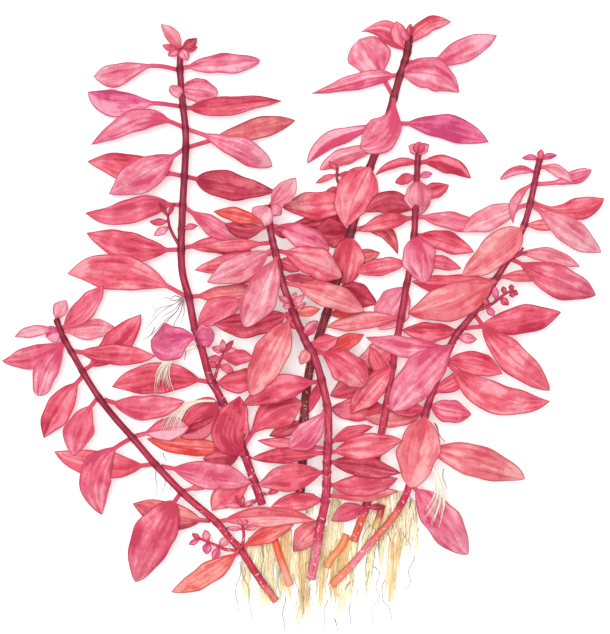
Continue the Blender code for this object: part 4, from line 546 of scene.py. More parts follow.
for name in STEMS:
    shape = bmesh.new()
    layers = new_layers(shape)
    count = round(lengths(route(STEMS[name][0], ROUTE_POINTS))[-1] / STEM_STEP)
    line, radii = stem_line(name, count)
    rings = np.zeros(count)
    for x, y, *_ in LEAVES[name]:
        apart = np.hypot(line[:, 0] - x, line[:, 1] - y)
        if apart.min() < RING_REACH:
            beside = (np.arange(count) - np.argmin(apart)) * STEM_STEP / RING_LENGTH
            rings = np.maximum(rings, np.exp(-beside ** 2))
    add_stem(shape, layers, line, radii * (1 + RING_SWELL * rings), STEM_SIDES, np.linspace(0, 1, count),
             rings, lengths(line)[-1] / count)
    for stem, points in TWIGS:
        if stem == name:
            twig, twig_radii = twig_line(stem, points, TWIG_POINTS)
            start = np.argmin(np.hypot(line[:, 0] - points[0][0], line[:, 1] - points[0][1])) / count
            add_stem(shape, layers, twig, twig_radii, TWIG_SIDES, np.full(TWIG_POINTS, start),
                     np.zeros(TWIG_POINTS), lengths(twig)[-1] / TWIG_POINTS)
    skin = stem_skin(f"{name}_fresh_stem_skin", *STEM_COLOURS[name], ends=STEM_ENDS.get(name, ()))
    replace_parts(finish_piece(f"{name}_stem_skin", shape, [skin]), f"{name}_shoot_stem")


# Leaf blades: thin, soft and a little fleshy, in pairs on short stalks. Each blade is one curved sheet
# with a wavy edge, and lies over or under its neighbours as the bunch came to rest.
FORMS = {       # where a blade is widest, 0 for the usual place, and how far it swings to and fro, in mm
    "tall": {0: (0.73, -0.9), 1: (0.55, 0.2), 2: (0.48, -0.8), 3: (0.42, -0.3), 4: (0.7, -1.1), 5: (0.66, 0),
        7: (0.64, 0), 9: (0.42, 0), 10: (0.48, -0.9), 11: (0.6, 0), 17: (0.64, -0.6), 22: (0.35, 0),
        24: (0.44, 1.2), 26: (0.66, 0)},
    "front": {
        4: (0.58, 0), 7: (0.55, 0), 9: (0.54, 0), 10: (0.54, 0), 12: (0.5, 0), 14: (0.6, 0), 17: (0.6, 0)},
    "back": {0: (0.36, 0), 3: (0.69, 0), 4: (0.38, -0.3), 5: (0.42, 0), 6: (0.6, -0.6), 7: (0.66, 0),
        8: (0.62, 0.8), 11: (0.42, 0)},
    "middle": {0: (0.4, 0), 1: (0.52, 0), 10: (0.46, 0)},
    "right": {2: (0.72, 0), 5: (0.55, 0), 6: (0.66, 0), 8: (0.42, 0), 10: (0.58, 0), 14: (0.56, -0.3),
        19: (0.52, 0), 21: (0.5, 0), 26: (0.46, 0), 28: (0.5, 0.3)},
    "left": {6: (0.6, 0), 16: (0.5, 0)},
}
RESTING = {"tall": (4, 0), "back": (0, 6), "left": (5, 16), "right": (5, 10, 27, 28)}   # tips that lie down
LEAF_THICKNESS = 0.55                   # of the solids that the leaves lie on each other with
BLADE_THICKNESS = 0.3
GAP = 0.3                               # between a leaf's foot and its stem
CLEARANCE = 1.25                        # between the middles of leaves that lie on each other
SHARP_TIP, BELLY = 0.95, 0.45           # shape of a blade: how sharp, and where it is widest
STALK_SHARE = 0.5                       # the blade starts to widen at this share of the stalk
OWN_LEAF_AREA = 223.0                   # length by width above which a leaf is a piece of its own
TUFT_BELLY = 0.85                       # where a tuft of aerial roots is widest
STALK_WIDTH = 0.75, 0.12, 0.2           # half width of a stalk: at most, and by its blade's width
STALK_TIP = 0.12                        # share of the length over which the least width fades to the tip
ROLL, CUP = 0.3, (0.05, 0.1)            # how much a blade tilts sideways, and how its edges turn up
LEAN_START = 4                          # a blade leans fully past one in this many parts of its length
LUCK, LUCK_SCALE = (12.99, 78.23, 3.7), 43758.5     # these scatter what differs from leaf to leaf
SOLID_STEP, SOLID_TWIG_POINTS = 6.5, 5  # straight runs of the solid stems that the leaves lie on
FINE_STEP = 0.5
NEARER = 0.4                            # a twig carries a foot only if it is this much nearer than the stem
ALONG_STEM = 0.8                        # a leaf that runs this much along its stem lies over or under it
AIM_SHARE = 0.3                         # a leaf's way from its stem is taken at this share of its length
SUNK, UNDER_FOOT, SMALL_LIFT = 0.55, 0.3, 0.2
FOOT_AHEAD = 0.1, 0.6                   # extra room before an own leaf's foot: always, and by its slant
FOOT_SPREAD, FOOT_STEP, FOOT_TURN = 0.35, 1.2, 1.4  # how a leaf's rank moves its foot on its stem's side
LOWEST_FOOT, LOWEST_TIP = 0.7, 1.0
ARCHED, DROOP, DROOP_BY_LUCK = (0.5, 1.5), 0.22, (0.6, 0.8)     # wish for a middle's height and a tip's
SETTLE_TURNS, FLOOR_GAP, PINNED_TIP = 1500, 0.15, 0.05
TINY = 1e-6
WISH, WISH_ENDS, PUSH = 0.02, 0.8, 1.4  # pull of the wishes, when it ends, and how far pushes overshoot
STEM_ROOM, EDGE_ROOM = 0.75, 0.7        # between a stem and a blade's middle, and beside a blade's edge
ACROSS_ROOM = 1.2                       # how far ahead of a place its nearest point of a midrib may be
NEAR_OWN_FOOT, NEAR_SMALL_FOOT = 0.16, 0.4          # leaves may meet this near to their feet
OWN_STEM_NEAR, SMALL_STEM_NEAR, SHOOT_NEAR = 0.15, 0.3, 0.04    # and may meet stems this near to them
TOUCHED_SHARES = np.array([0.1, 0.18, 0.27, 0.36, 0.45, 0.55, 0.65, 0.75, 0.85, 0.93, 1.0])
TOUCHED_SIDES = np.array([-1.0, -0.5, 0.0, 0.5, 1.0])
FLOOR_SHARES = 0.1, 0.2, 0.35, 0.5, 0.65, 0.8, 0.9, 1.0
THIN_TIP = 0.95, 0.1                    # past this share the blade's thickness counts this much
ROOT_TUFTS = [                          # rough form of the root mat, which leaves lie on
    [(84, 27), (82, 17), (83, 8), (84, 2.5)], [(88, 24), (87.5, 14), (88, 6.5)],
    [(93, 28), (92.8, 16), (94, 7), (95, 0.5)], [(99, 28), (98.4, 14), (100, 3)],
    [(104, 28), (104, 12), (102.5, 1)], [(109.5, 30), (109.5, 14), (107.8, 1.5)],
    [(115, 30), (115, 14), (112.7, 0.5)], [(120.5, 34), (120.5, 18), (117.5, 2.2)],
    [(126, 36), (125.8, 20), (124.3, 2)], [(131, 38), (131.2, 20), (130.3, 3.5)],
    [(136, 42), (136.5, 28), (134.8, 13)],
]
ROOT_CROWN = [(83, 28), (92, 27), (102, 27), (112, 30), (122, 34), (132, 40), (138, 46)]
ROOT_HEIGHT, ROOT_TIP_HEIGHT = 3.2, 0.8     # half heights of the mat at its crown and its tips
ROOT_POINTS = 30


def dense(line, radii):
    """The same straight runs with a point every step."""
    along = lengths(line)
    wanted = np.linspace(0, along[-1], round(along[-1] / FINE_STEP) + 1)
    finer = np.stack([np.interp(wanted, along, column) for column in line.T], 1)
    return finer, np.interp(wanted, along, radii)


def solid_stem(name):
    """Places and radii of the stem's solid, which leaves are settled on."""
    count = round(lengths(route(STEMS[name][0], ROUTE_POINTS))[-1] / SOLID_STEP) + 1
    return dense(*stem_line(name, count))


carriers = [(name, *solid_stem(name)) for name in STEMS]
carriers += [(stem, *dense(*twig_line(stem, points, SOLID_TWIG_POINTS))) for stem, points in TWIGS]


class Leaf:
    """One leaf of the table, with its foot on a stem or a twig."""

    def __init__(self, shoot, number, row):
        self.shoot, self.number = shoot, number
        self.foot, self.tip = np.array(row[:2], float), np.array(row[2:4], float)
        self.width, self.bend, stalk, self.rank, self.tone = row[4:9]
        self.sharp = row[9] if len(row) > 9 else SHARP_TIP
        widest, self.sway = FORMS[shoot].get(number, (0.0, 0.0))
        self.blade_foot = STALK_SHARE * stalk
        belly = widest or stalk + (1 - stalk) * BELLY
        self.belly = TUFT_BELLY if self.tone == "tuft" else (belly - self.blade_foot) / (1 - self.blade_foot)
        self.length = float(np.linalg.norm(self.tip - self.foot))
        seed = math.sin(sum(part * count for part, count in zip(row, LUCK))) * LUCK_SCALE
        self.chance = seed - math.floor(seed)
        self.roll = (self.chance - 0.5) * ROLL
        self.cup = CUP[0] + CUP[1] * math.modf(self.chance * 7)[0]
        self.own = self.width * self.length > OWN_LEAF_AREA or self.tone == "tuft"
        self.place_foot()

    def place_foot(self):
        """Finds the stem or twig under the foot and sets the foot on its skin."""
        rank, best = STEMS[self.shoot][3], None
        for shoot, line, radii in carriers:
            if shoot == self.shoot:
                apart = np.hypot(line[:, 0] - self.foot[0], line[:, 1] - self.foot[1])
                near = min(int(np.argmin(apart)), len(line) - 3)
                if best is None or apart[near] < best[0] - NEARER:
                    best = (apart[near], line, radii, near)
        _, line, radii, near = best
        self.carrier = (self.shoot, len(line))
        axis, radius = line[near], radii[near]
        run = (line[near + 1] - line[max(near - 1, 0)])[:2]
        run = run / np.linalg.norm(run)
        aim = self.point(AIM_SHARE)[0, :2] - axis[:2]
        aim = aim / np.linalg.norm(aim)
        along = abs(float(run @ aim))
        gap = GAP if self.own else -SUNK * radius
        self.stand_off = 0.0
        if along > ALONG_STEM:
            over = 1 if self.rank > rank else -1
            self.foot = axis[:2].copy()
            lift = over * (radius + gap + (UNDER_FOOT if self.own else SMALL_LIFT))
            self.stand_off = over * (gap + UNDER_FOOT) if self.own else 0.0
        else:
            slant = math.sqrt(1 - along * along)
            out = (radius + gap + FOOT_AHEAD[0] + FOOT_AHEAD[1] * along) / slant if self.own else radius + gap
            self.foot = axis[:2] + aim * out
            lift = radius * FOOT_SPREAD * max(-FOOT_TURN, min(FOOT_TURN, (self.rank - rank) * FOOT_STEP))
        self.foot_z = max(axis[2] + lift, LOWEST_FOOT)

    def point(self, share):
        """Places of the midrib on the sheet, and its directions there."""
        run = self.tip - self.foot
        side = np.array([-run[1], run[0]]) / np.linalg.norm(run)
        knee = (self.foot + self.tip) / 2 + 2 * self.bend * side
        share = np.atleast_1d(np.asarray(share, float))[:, None]
        spot = (1 - share) ** 2 * self.foot + 2 * share * (1 - share) * knee + share ** 2 * self.tip
        spot = spot + self.sway * np.sin(2 * math.pi * share) * side
        heading = 2 * (1 - share) * (knee - self.foot) + 2 * share * (self.tip - knee)
        heading = heading + self.sway * 2 * math.pi * np.cos(2 * math.pi * share) * side
        return np.hstack([spot, heading / np.linalg.norm(heading, axis=1, keepdims=True)])

    def half_width(self, share):
        """Half the width at a share of the length: a thin stalk, then the blade."""
        blade = np.clip((np.asarray(share, float) - self.blade_foot) / (1 - self.blade_foot), 0, 1)
        rise = self.sharp * self.belly / (1 - self.belly)
        form = (blade / self.belly) ** rise * ((1 - blade) / (1 - self.belly)) ** self.sharp
        stalk = min(STALK_WIDTH[0], STALK_WIDTH[1] * self.width + STALK_WIDTH[2])
        stalk = stalk * np.clip((1 - np.asarray(share)) / STALK_TIP, 0, 1)
        return np.maximum(self.width / 2 * form, stalk)

    def height(self, share, aside):
        """Height of the blade's middle at a distance to the left of its midrib."""
        foot, middle, tip = arch(share)
        return foot * self.foot_z + middle * self.middle_z + tip * self.tip_z + self.lean(share, aside)

    def beside(self, share, aside):
        """Places at a distance to the left of the midrib, on the sheet."""
        x, y, ahead_x, ahead_y = self.point(share).T
        return np.column_stack([x - ahead_y * aside, y + ahead_x * aside])

    def lean(self, share, aside):
        """Height that the blade's roll and its raised edges add beside the midrib."""
        fade = np.clip(np.asarray(share) * LEAN_START, 0, 1)
        return fade * (self.roll * aside + self.cup * np.abs(aside) ** 1.5 * 0.5)


def settle(leaves):
    """Finds the height of each leaf's middle and tip, so that what lies on it lies clear of it."""
    fine = np.linspace(0, 1, 41)
    spines, boxes = [], []
    for leaf in leaves:
        leaf.middle_z = leaf.foot_z + ARCHED[0] + ARCHED[1] * leaf.chance
        luck = DROOP_BY_LUCK[0] + DROOP_BY_LUCK[1] * math.modf(leaf.chance * 5)[0]
        leaf.tip_z = max(LOWEST_TIP, leaf.foot_z - DROOP * leaf.length * luck)
        half = leaf.half_width(fine)
        spines.append((leaf.point(fine)[:, :2], half, leaf.point(fine)[:, 2:]))
        edge = np.vstack([leaf.beside(fine, -half), leaf.beside(fine, half)])
        boxes.append((edge.min(0) - 1, edge.max(0) + 1))

    def under(number, places):
        """For places on the sheet: whether leaf number covers them, and where on it they are."""
        centre, half, heading = spines[number]
        apart = places[:, None, :] - centre[None, :, :]
        near = np.argmin((apart ** 2).sum(2), axis=1)
        offset = apart[np.arange(len(places)), near]
        head = heading[near]
        aside = head[:, 0] * offset[:, 1] - head[:, 1] * offset[:, 0]
        ahead = (head * offset).sum(1)
        inside = (np.abs(aside) <= half[near] + EDGE_ROOM) & (np.abs(ahead) < ACROSS_ROOM)
        return inside, fine[near], np.clip(aside, -half[near], half[near])

    rows = []       # upper leaf, its share, lower leaf, its share, gap
    for first, leaf in enumerate(leaves):
        share_1 = np.repeat(TOUCHED_SHARES, len(TOUCHED_SIDES))
        aside_1 = np.tile(TOUCHED_SIDES, len(TOUCHED_SHARES)) * leaf.half_width(share_1)
        grid = leaf.beside(share_1, aside_1)
        for second, other in enumerate(leaves):
            if second == first or np.any(boxes[first][0] > boxes[second][1]) or np.any(
                    boxes[second][0] > boxes[first][1]):
                continue
            inside, share_2, aside_2 = under(second, grid)
            near_foot = (share_1 < NEAR_OWN_FOOT) & (share_2 < NEAR_OWN_FOOT)
            if not leaf.own and not other.own and leaf.shoot == other.shoot:
                near_foot = (share_1 < NEAR_SMALL_FOOT) | (share_2 < NEAR_SMALL_FOOT)
            above = (leaf.rank, leaf.foot_z, first) > (other.rank, other.foot_z, second)
            for k in np.nonzero(inside & ~near_foot)[0]:
                apart = float(other.lean(share_2[k], aside_2[k])) - float(leaf.lean(share_1[k], aside_1[k]))
                if above:
                    rows.append((first, share_1[k], second, share_2[k], CLEARANCE + apart))
                else:
                    rows.append((second, share_2[k], first, share_1[k], CLEARANCE - apart))
    held_rows = []      # leaf, its share, height it keeps, and +1 above or -1 below
    lines = [((shoot, len(line)), line, radii, STEMS[shoot][3]) for shoot, line, radii in carriers]
    for points in ROOT_TUFTS + [ROOT_CROWN]:
        last = ROOT_HEIGHT if points is ROOT_CROWN else ROOT_TIP_HEIGHT
        height = np.linspace(ROOT_HEIGHT, last, ROOT_POINTS)
        lines.append((("roots", 0), np.column_stack([route(points, ROOT_POINTS), height]), height, -1))
    for number, leaf in enumerate(leaves):
        for name, line, radii, rank in lines:
            inside, share, aside = under(number, line[:, :2])
            for k in np.nonzero(inside)[0]:
                if name == leaf.carrier and share[k] < (OWN_STEM_NEAR if leaf.own else SMALL_STEM_NEAR):
                    continue
                if name[0] == leaf.shoot and (share[k] < SHOOT_NEAR or not leaf.own):
                    continue
                side = 1 if leaf.rank > rank else -1
                keep = side * (radii[k] + STEM_ROOM) + line[k, 2] - float(leaf.lean(share[k], aside[k]))
                held_rows.append((number, share[k], keep, side))
        for share in FLOOR_SHARES:
            floor = LEAF_THICKNESS / 2 * (1 if share < THIN_TIP[0] else THIN_TIP[1]) + FLOOR_GAP
            for side in (-1, 0, 1):
                low = float(leaf.lean(share, side * leaf.half_width(share)))
                held_rows.append((number, share, floor - low, 1))
    upper, upper_share, lower, lower_share, gap = (np.array(column) for column in zip(*rows))
    held, held_share, keep, side = (np.array(column) for column in zip(*held_rows))
    parts = [np.array(arch(share)) for share in (upper_share, lower_share, held_share)]
    sizes = [(part[1:] ** 2).sum(0) for part in parts]
    foot = np.array([leaf.foot_z for leaf in leaves])
    state = np.array([[leaf.middle_z, leaf.tip_z] for leaf in leaves])
    wanted = state.copy()
    pinned = np.array([leaf.number in RESTING.get(leaf.shoot, ()) for leaf in leaves])
    wanted[pinned, 1] = PINNED_TIP
    for turn in range(SETTLE_TURNS):
        state += WISH * max(0.0, 1 - turn / (WISH_ENDS * SETTLE_TURNS)) * (wanted - state)
        move, count = np.zeros_like(state), np.full(len(leaves), 1e-9)
        high, low, now = (foot[which] * part[0] + state[which, 0] * part[1] + state[which, 1] * part[2]
                          for which, part in zip((upper, lower, held), parts))
        short = gap - (high - low)
        bad = short > 0
        push = np.where(bad, short / (sizes[0] + sizes[1] + TINY), 0)
        short = (keep - now) * side
        held_bad = short > 0
        held_push = np.where(held_bad, short * side / (sizes[2] + TINY), 0)
        for which, part, moves, touched in ((upper, parts[0], push, bad), (lower, parts[1], -push, bad),
                                            (held, parts[2], held_push, held_bad)):
            np.add.at(count, which, touched)
            for column in (0, 1):
                np.add.at(move[:, column], which, moves * part[column + 1])
        state += PUSH * move / np.maximum(count, 1)[:, None]
        state[pinned, 1] = PINNED_TIP
    for leaf, (middle, tip) in zip(leaves, state):
        leaf.middle_z, leaf.tip_z = float(middle), float(tip)


leaves = [Leaf(shoot, number, row) for shoot, rows in LEAVES.items() for number, row in enumerate(rows)]
settle(leaves)
RUFFLE, WOBBLE = 0.3, 0.07      # height of the waves along the edge, and how uneven the outline is
BLADE_GRID, FINE_GRID = 1.25, 1.6       # rows of faces for each millimetre of an own leaf and a small one
FEWEST_ROWS, WIDE_COLUMNS, SLIM_COLUMNS, SLIM = 9, 14, 8, 6
STALK_REACH, STALK_SINK = 1.7, 0.08     # how far an own stalk runs into its stem, and where it sinks to it
USUAL_HALVES = 0.3              # painted light: how much paler the lit half of an ordinary blade is, and the other deeper
HALVES_SCATTER = 40             # scatters which half is the paler one
FOOT_CROWDING = 0.92            # crowds a blade's rows of faces towards its tip
LEAF_LAYERS = "lit_halves", "deeper"
PALER_LEFT_HALF = {             # leaves that catch the light on one half; below zero it is the right one
    "tall": {4: 0.5, 21: 0.7, 25: -0.5, 28: -0.7},
    "front": {8: -0.5, 12: 0.5, 21: 0.5},
    "back": {0: -0.6, 3: 0.5, 4: -0.6, 6: 0.4, 8: -0.9, 10: -0.5},
    "middle": {0: -0.5, 1: 0.9, 16: 0.4},
    "right": {0: 0.7, 12: -0.7, 16: 0.7, 18: 0.4, 22: 0.4},
    "left": {3: 0.8, 7: 0.4, 8: 0.4, 9: 0.5, 13: -0.9, 18: -0.5, 19: -0.6},
}
DEEPER = {                      # leaves with more pigment than their tone has, or less
    "tall": {0: 0.25, 2: 0.18, 5: -0.18, 7: -0.15, 10: 0.5, 18: -0.15, 19: 0.18, 24: 0.45, 39: -0.7},
    "front": {1: -0.45, 8: 0.37, 9: 0.24, 17: 0.22, 20: 0.24, 26: -0.28, 41: 0.55},
    "back": {7: 0.26, 9: 0.3, 11: -0.22},
    "middle": {13: -0.24, 15: -0.43, 24: 0.42},
    "right": {1: -0.5, 12: 0.56, 15: 0.2, 21: 0.22},
    "left": {1: 0.25, 10: 0.14, 14: 0.31, 15: 0.36, 16: 0.25, 20: -0.45, 21: -0.26},
}


def fresh_blade(leaf, share, across):
    """Places on a blade, with its stalk reaching the stem, and how wide the blade is there."""
    turn = 2 * math.pi * leaf.chance
    uneven = np.sin(7.9 * share + turn + across) + 0.7 * np.sin(17.3 * share + 5 * turn - 2 * across)
    half = leaf.half_width(share) * (1 + WOBBLE * uneven * np.clip(share * 4 - 0.8, 0, 1))
    aside = across * half
    waves = np.sin(leaf.length * share * 0.75 + 3 * turn + 1.3 * np.sign(across))
    z = leaf.height(share, aside) + RUFFLE * waves * across ** 2 * np.clip(half / 4, 0, 1)
    z = z - leaf.stand_off * np.clip(1 - share / STALK_SINK, 0, 1.3)
    return np.column_stack([leaf.beside(share, aside), z]), aside, half


def blade_layers(shape):
    """Room for a leaf's two vectors, how much paler its left half is painted as if lit, and its extra
    pigment.
    """
    return new_layers(shape) + [shape.verts.layers.float.new(name) for name in LEAF_LAYERS]


def add_blade(shape, leaf, layers, skin_number=0):
    """Lays a grid out as the leaf's blade."""
    # painted light and shade: which half of the blade is painted paler as if lit, and by how much
    usual = USUAL_HALVES * math.sin(HALVES_SCATTER * leaf.chance)
    paler = PALER_LEFT_HALF[leaf.shoot].get(leaf.number, usual)
    values = paler, DEEPER[leaf.shoot].get(leaf.number, 0.0)
    long = max(FEWEST_ROWS, round(leaf.length * (BLADE_GRID if leaf.own else FINE_GRID)))
    wide = WIDE_COLUMNS if leaf.width > SLIM else SLIM_COLUMNS
    made = bmesh.ops.create_grid(shape, x_segments=long, y_segments=wide, size=0.5)["verts"]
    spots = np.array([vert.co[:2] for vert in made]) + 0.5
    start = -STALK_REACH / leaf.length if leaf.own else 0.0
    share = start + (1 - start) * spots[:, 0] ** FOOT_CROWDING
    across = np.rint(spots[:, 1] * wide) / wide * 2 - 1
    points, aside, half = fresh_blade(leaf, share, across)
    for vert, spot, u, v, off, reach in zip(made, place(points), share, across, aside, half):
        vert.co = spot
        vert[layers[0]] = (u, v, leaf.chance)
        vert[layers[1]] = (u * leaf.length, off, reach)
        for layer, value in zip(layers[2:], values):
            vert[layer] = value
    for face in {face for vert in made for face in vert.link_faces}:
        face.material_index = skin_number


def finish_leaf(name, shape, skins):
    """Makes the bmesh a piece, and gives its blades their thickness."""
    piece = finish_piece(name, shape, skins, close=False)
    wall = piece.modifiers.new("thickness", "SOLIDIFY")
    wall.thickness = BLADE_THICKNESS * MM
    wall.offset = 0.0
    return piece


# Leaf skin: moist and satin, with pigment in uneven washes. Strokes of deeper and paler colour fan out
# along the veins from the stalk, one half is often painted paler as if lit and the other deeper as if in
# shade, and a thin dark line marks the margin.
STALK_COLOUR = "d2506a"


def leaf_skin(tone, mid, pale, deep):
    material, tree, surface, blade, reach = new_skin(f"{tone}_leaf_skin", 0.6)
    lit_halves, deeper = [add_node(tree, "Attribute", {}, attribute_name=name)["Fac"] for name in LEAF_LAYERS]
    share, across, chance = add_node(tree, "SeparateXYZ", {0: blade})
    ahead, aside, half = add_node(tree, "SeparateXYZ", {0: reach})
    seed = overlap(tree, chance, 60.0)
    on_blade, on_veins = [add_node(tree, "CombineXYZ", {0: x, 1: y, 2: seed})[0] for x, y in (
        (ahead, aside), (overlap(tree, ahead, 0.06), overlap(tree, across, 1.9)))]
    patches, strokes, grain, pools = [
        add_node(tree, "TexNoise", {"Vector": spot, "Scale": scale, "Detail": detail, "Distortion": bent})[0]
        for spot, scale, detail, bent in ((on_blade, 0.12, 2.0, 0.5), (on_veins, 1.5, 3.0, 0.0),
                                          (on_blade, 1.1, 3.0, 0.0), (on_blade, 0.3, 1.0, 0.8))]
    # painted light and shade: the left half is painted paler and the right deeper, or the other way round
    left = overlap(tree, (total(tree, across, (patches, 0.6)), 0.16, 0.44))
    depth = total(tree, 3.05, (deeper, 1.0), (patches, -2.2), (strokes, -2.6), (grain, -0.6), (chance, 0.2),
                  (overlap(tree, (share, 0.4, 0.02)), 0.4), (overlap(tree, (share, 0.6, 1.0)), -0.16),
                  (lit_halves, 0.55), (overlap(tree, left, lit_halves), -1.1))
    off_midrib, off_middle = [add_node(tree, "Math", {0: value}, operation="ABSOLUTE")[0] for value in (
        total(tree, -0.25, (across, 1.0), (patches, 0.5)), aside)]
    midrib = overlap(tree, (off_midrib, 0.09, 0.02), (strokes, 0.4, 0.55), (share, 0.9, 0.6))
    rim = total(tree, half, (off_middle, -1.0))
    colour = washed(
        tree, linear(mid), (pale, 1.0, (depth, 0.5, -0.1)), (deep, 1.0, (depth, 0.5, 1.1)),
        (deep, 0.22, (pools, 0.54, 0.6)), (deep, 0.55, midrib),
        (deep, 0.75, (rim, 0.6, 0.2), (patches, 0.3, 0.42)),
        (STALK_COLOUR, 0.5, (half, 1.7, 0.9), (share, 0.45, 0.25)))
    relief = add_node(tree, "Bump", {"Height": total(tree, strokes, (midrib, -0.6)), "Strength": 0.3,
                                     "Distance": 0.0004})
    tree.links.new(colour, surface["Base Color"])
    tree.links.new(relief[0], surface["Normal"])
    return material


LEAF_COLOURS = {     # each tone's usual wash, its pale patches, and its veins and margin
    "coral": ("dc6273", "e897a0", "bf3a4e"),
    "pink": ("dc778c", "e9a8b8", "c64464"),
    "crimson": ("d45467", "e48090", "b22e47"),
    "magenta": ("d66287", "e896ad", "b83d68"),
    "brown": ("d2606c", "e58b88", "9c3847"),
    "dark": ("bd4256", "d66b7a", "962237"),
    "salmon": ("dc757e", "eaa2a3", "c64b57"),
    "rose": ("da6279", "e7949f", "bd3d56"),
    "orange": ("da5c5b", "e8938b", "c23838"),
    "pale": ("de8897", "e8b2ba", "c8566a"),
}
leaf_skins = {tone: leaf_skin(tone, *colours) for tone, colours in LEAF_COLOURS.items()}
tones = list(LEAF_COLOURS)

for leaf in leaves:
    if leaf.own and leaf.tone != "tuft":
        shape = bmesh.new()
        add_blade(shape, leaf, blade_layers(shape))
        piece = finish_leaf(f"{leaf.shoot}_leaf_blade_{leaf.number + 1:02d}", shape, [leaf_skins[leaf.tone]])
        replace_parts(piece, f"{leaf.shoot}_shoot_leaf_{leaf.number + 1:02d}")

for name in STEMS:
    shape = bmesh.new()
    layers = blade_layers(shape)
    for leaf in leaves:
        if leaf.shoot == name and not leaf.own:
            add_blade(shape, leaf, layers, tones.index(leaf.tone))
    finish_leaf(f"{name}_small_leaves", shape, leaf_skins.values())


# Roots: soft cream, tan and olive strands that grow from the lowest joints and hang together in locks
# with gaps between them. Broad flat ones lie below, narrow ones over them, and all taper to nothing.
LOCKS = [                       # route, half width, and place on the row of root colours
    ([(83.5, 31), (82.2, 21), (82.8, 9.5)], 1.9, 0.22), ([(86, 31), (86, 21), (86.3, 12)], 0.9, 0.12),
    ([(88, 33), (87.2, 19), (88, 6.5)], 1.1, 0.3), ([(91, 34), (90, 21), (91.4, 6)], 1.6, 0.5),
    ([(95.5, 35), (94.6, 21), (96.2, 10)], 1.9, 0.72), ([(100, 33), (98, 22), (97.3, 13.5)], 1.4, 0.5),
    ([(93, 27), (93, 17), (93.6, 8)], 0.9, 0.25),
    ([(101, 33), (100.8, 19), (100.8, 10), (99.2, 1)], 1.6, 0.75),
    ([(103, 30), (102.5, 14), (102.8, 3.5)], 0.9, 0.62),
    ([(107.5, 35), (107.6, 20), (106.4, 6.5)], 2.3, 0.62), ([(113, 50), (112.3, 44), (111, 36)], 2, 0.3),
    ([(111.5, 39), (110.2, 29), (111, 21)], 2, 0.3), ([(114.5, 31), (112.8, 19), (112.5, 9)], 3, 0.78),
    ([(114, 20), (113.6, 12), (113, 4)], 1.7, 0.12), ([(118.5, 33), (117, 19), (116.6, 9)], 1.2, 0.5),
    ([(124.5, 41), (123, 33), (121, 25)], 2.2, 0.5), ([(124.4, 31), (123.3, 22), (121.8, 10.5)], 1.4, 0.35),
    ([(127.5, 35), (127.5, 27), (126.8, 22)], 1.5, 0.58),
    ([(132, 35), (130.4, 20), (130.3, 8.5)], 2.1, 0.66), ([(128, 46), (128.2, 38), (127, 31)], 2.6, 0.42),
    ([(133, 47), (132.6, 40), (131, 34)], 1.6, 0.25), ([(134, 38), (133.2, 29), (132.8, 22)], 1.4, 0.45),
    ([(135, 44), (135.8, 32), (137, 25)], 1.8, 0.28), ([(137.4, 45), (138.4, 35), (139, 27)], 0.8, 0.14),
    ([(103.4, 46), (103, 43), (103, 39)], 1.5, 0.25), ([(113, 42.5), (113.2, 35), (114.6, 28)], 1.5, 0.3),
]
LOCK_KINDS = {      # strands for each mm of half width, radii, height, flatness, faces, how short they are
    "broad": (2.6, (0.45, 0.85), 0.35, 0.4, 6, 0.3),
    "narrow": (3.6, (0.18, 0.36), 0.75, 0.8, 5, 0.22),
    "thread": (3.0, (0.09, 0.14), 0.95, 0.8, 5, 0.22),
}
LOCK_TOP, LOCK_TIP = 4.6, 1.3                   # height of a lock at its crown and its tip
LOCK_POINTS, ROW_LENGTH, FEWEST_POINTS = 60, 0.6, 8
LOCK_TAPER, LOCK_EDGE, LOCK_SPREAD = 0.3, 0.3, 0.7
SHADE_SPREAD, UPPER_SHADE = 0.14, 0.12          # how much strands of a lock differ, and the upper ones
LUCK_SHIFT = 0.7                                # how far the pattern shifts from strand to strand
PATCHINESS, SHADE_BLEND = 1.1, 0.06             # how far patches shift a strand's shade, and how softly
chance = np.random.default_rng(11)


# Root skin: soft and matt, with patches of colour that run across the strands, each of which has its own
# shade besides. The sides of a strand are darker with painted shade, and darker strokes lie along it.
def root_skin(name, colours, dark, patchy=True):
    material, tree, surface, blade, reach = new_skin(name, 0.7)
    _, side, luck = add_node(tree, "SeparateXYZ", {0: blade})
    spread = add_node(tree, "VectorMath", {0: reach, 1: (1.0, 0.4, 1.0)}, operation="MULTIPLY")[0]
    patches, strokes = [add_node(tree, "TexNoise", {"Vector": spread, "Scale": scale, "Detail": 2.0})[0]
                        for scale in (0.35, 1.3)]
    patchiness = PATCHINESS if patchy else 0.0
    shade = total(tree, luck, (patches, patchiness))
    starts = [step / len(colours) + patchiness / 2 for step in range(len(colours))]
    flank = add_node(tree, "Math", {0: side}, operation="ABSOLUTE")[0]
    colour = washed(
        tree, linear(colours[0]), *[(code, 1.0, (shade, start - SHADE_BLEND, start + SHADE_BLEND))
                                    for code, start in list(zip(colours, starts))[1:]],
        # darker strokes along the strand, and painted shade on its sides in the dark colour
        (dark, 0.4, (strokes, 0.55, 0.75)), (dark, 0.35, (flank, 0.35, 0.0)))
    tree.links.new(colour, surface["Base Color"])
    return material


def add_strand(shape, layers, line, radii, sides, luck, flatness=1.0):
    """Adds one root along a line. Its luck picks its shade, and a flat one is lower than it is wide."""
    grid, row, angle = rolled_tube(shape, line, radii, sides)
    for vert, k, turn in zip(grid, row, angle):
        x, y, z = line[k]
        vert.co.z = z * MM + (vert.co.z - z * MM) * flatness
        vert[layers[0]] = (k / (len(line) - 1), math.sin(turn), luck)
        vert[layers[1]] = (x, y, luck * LUCK_SHIFT)


def lock_height(share):
    """Height of a lock's top at a share of its length."""
    return LOCK_TOP + (LOCK_TIP - LOCK_TOP) * share


def on_route(points, share):
    """The nearest of the even points along a route, at each share of its length."""
    return route(points, LOCK_POINTS)[np.rint(share * (LOCK_POINTS - 1)).astype(int)]


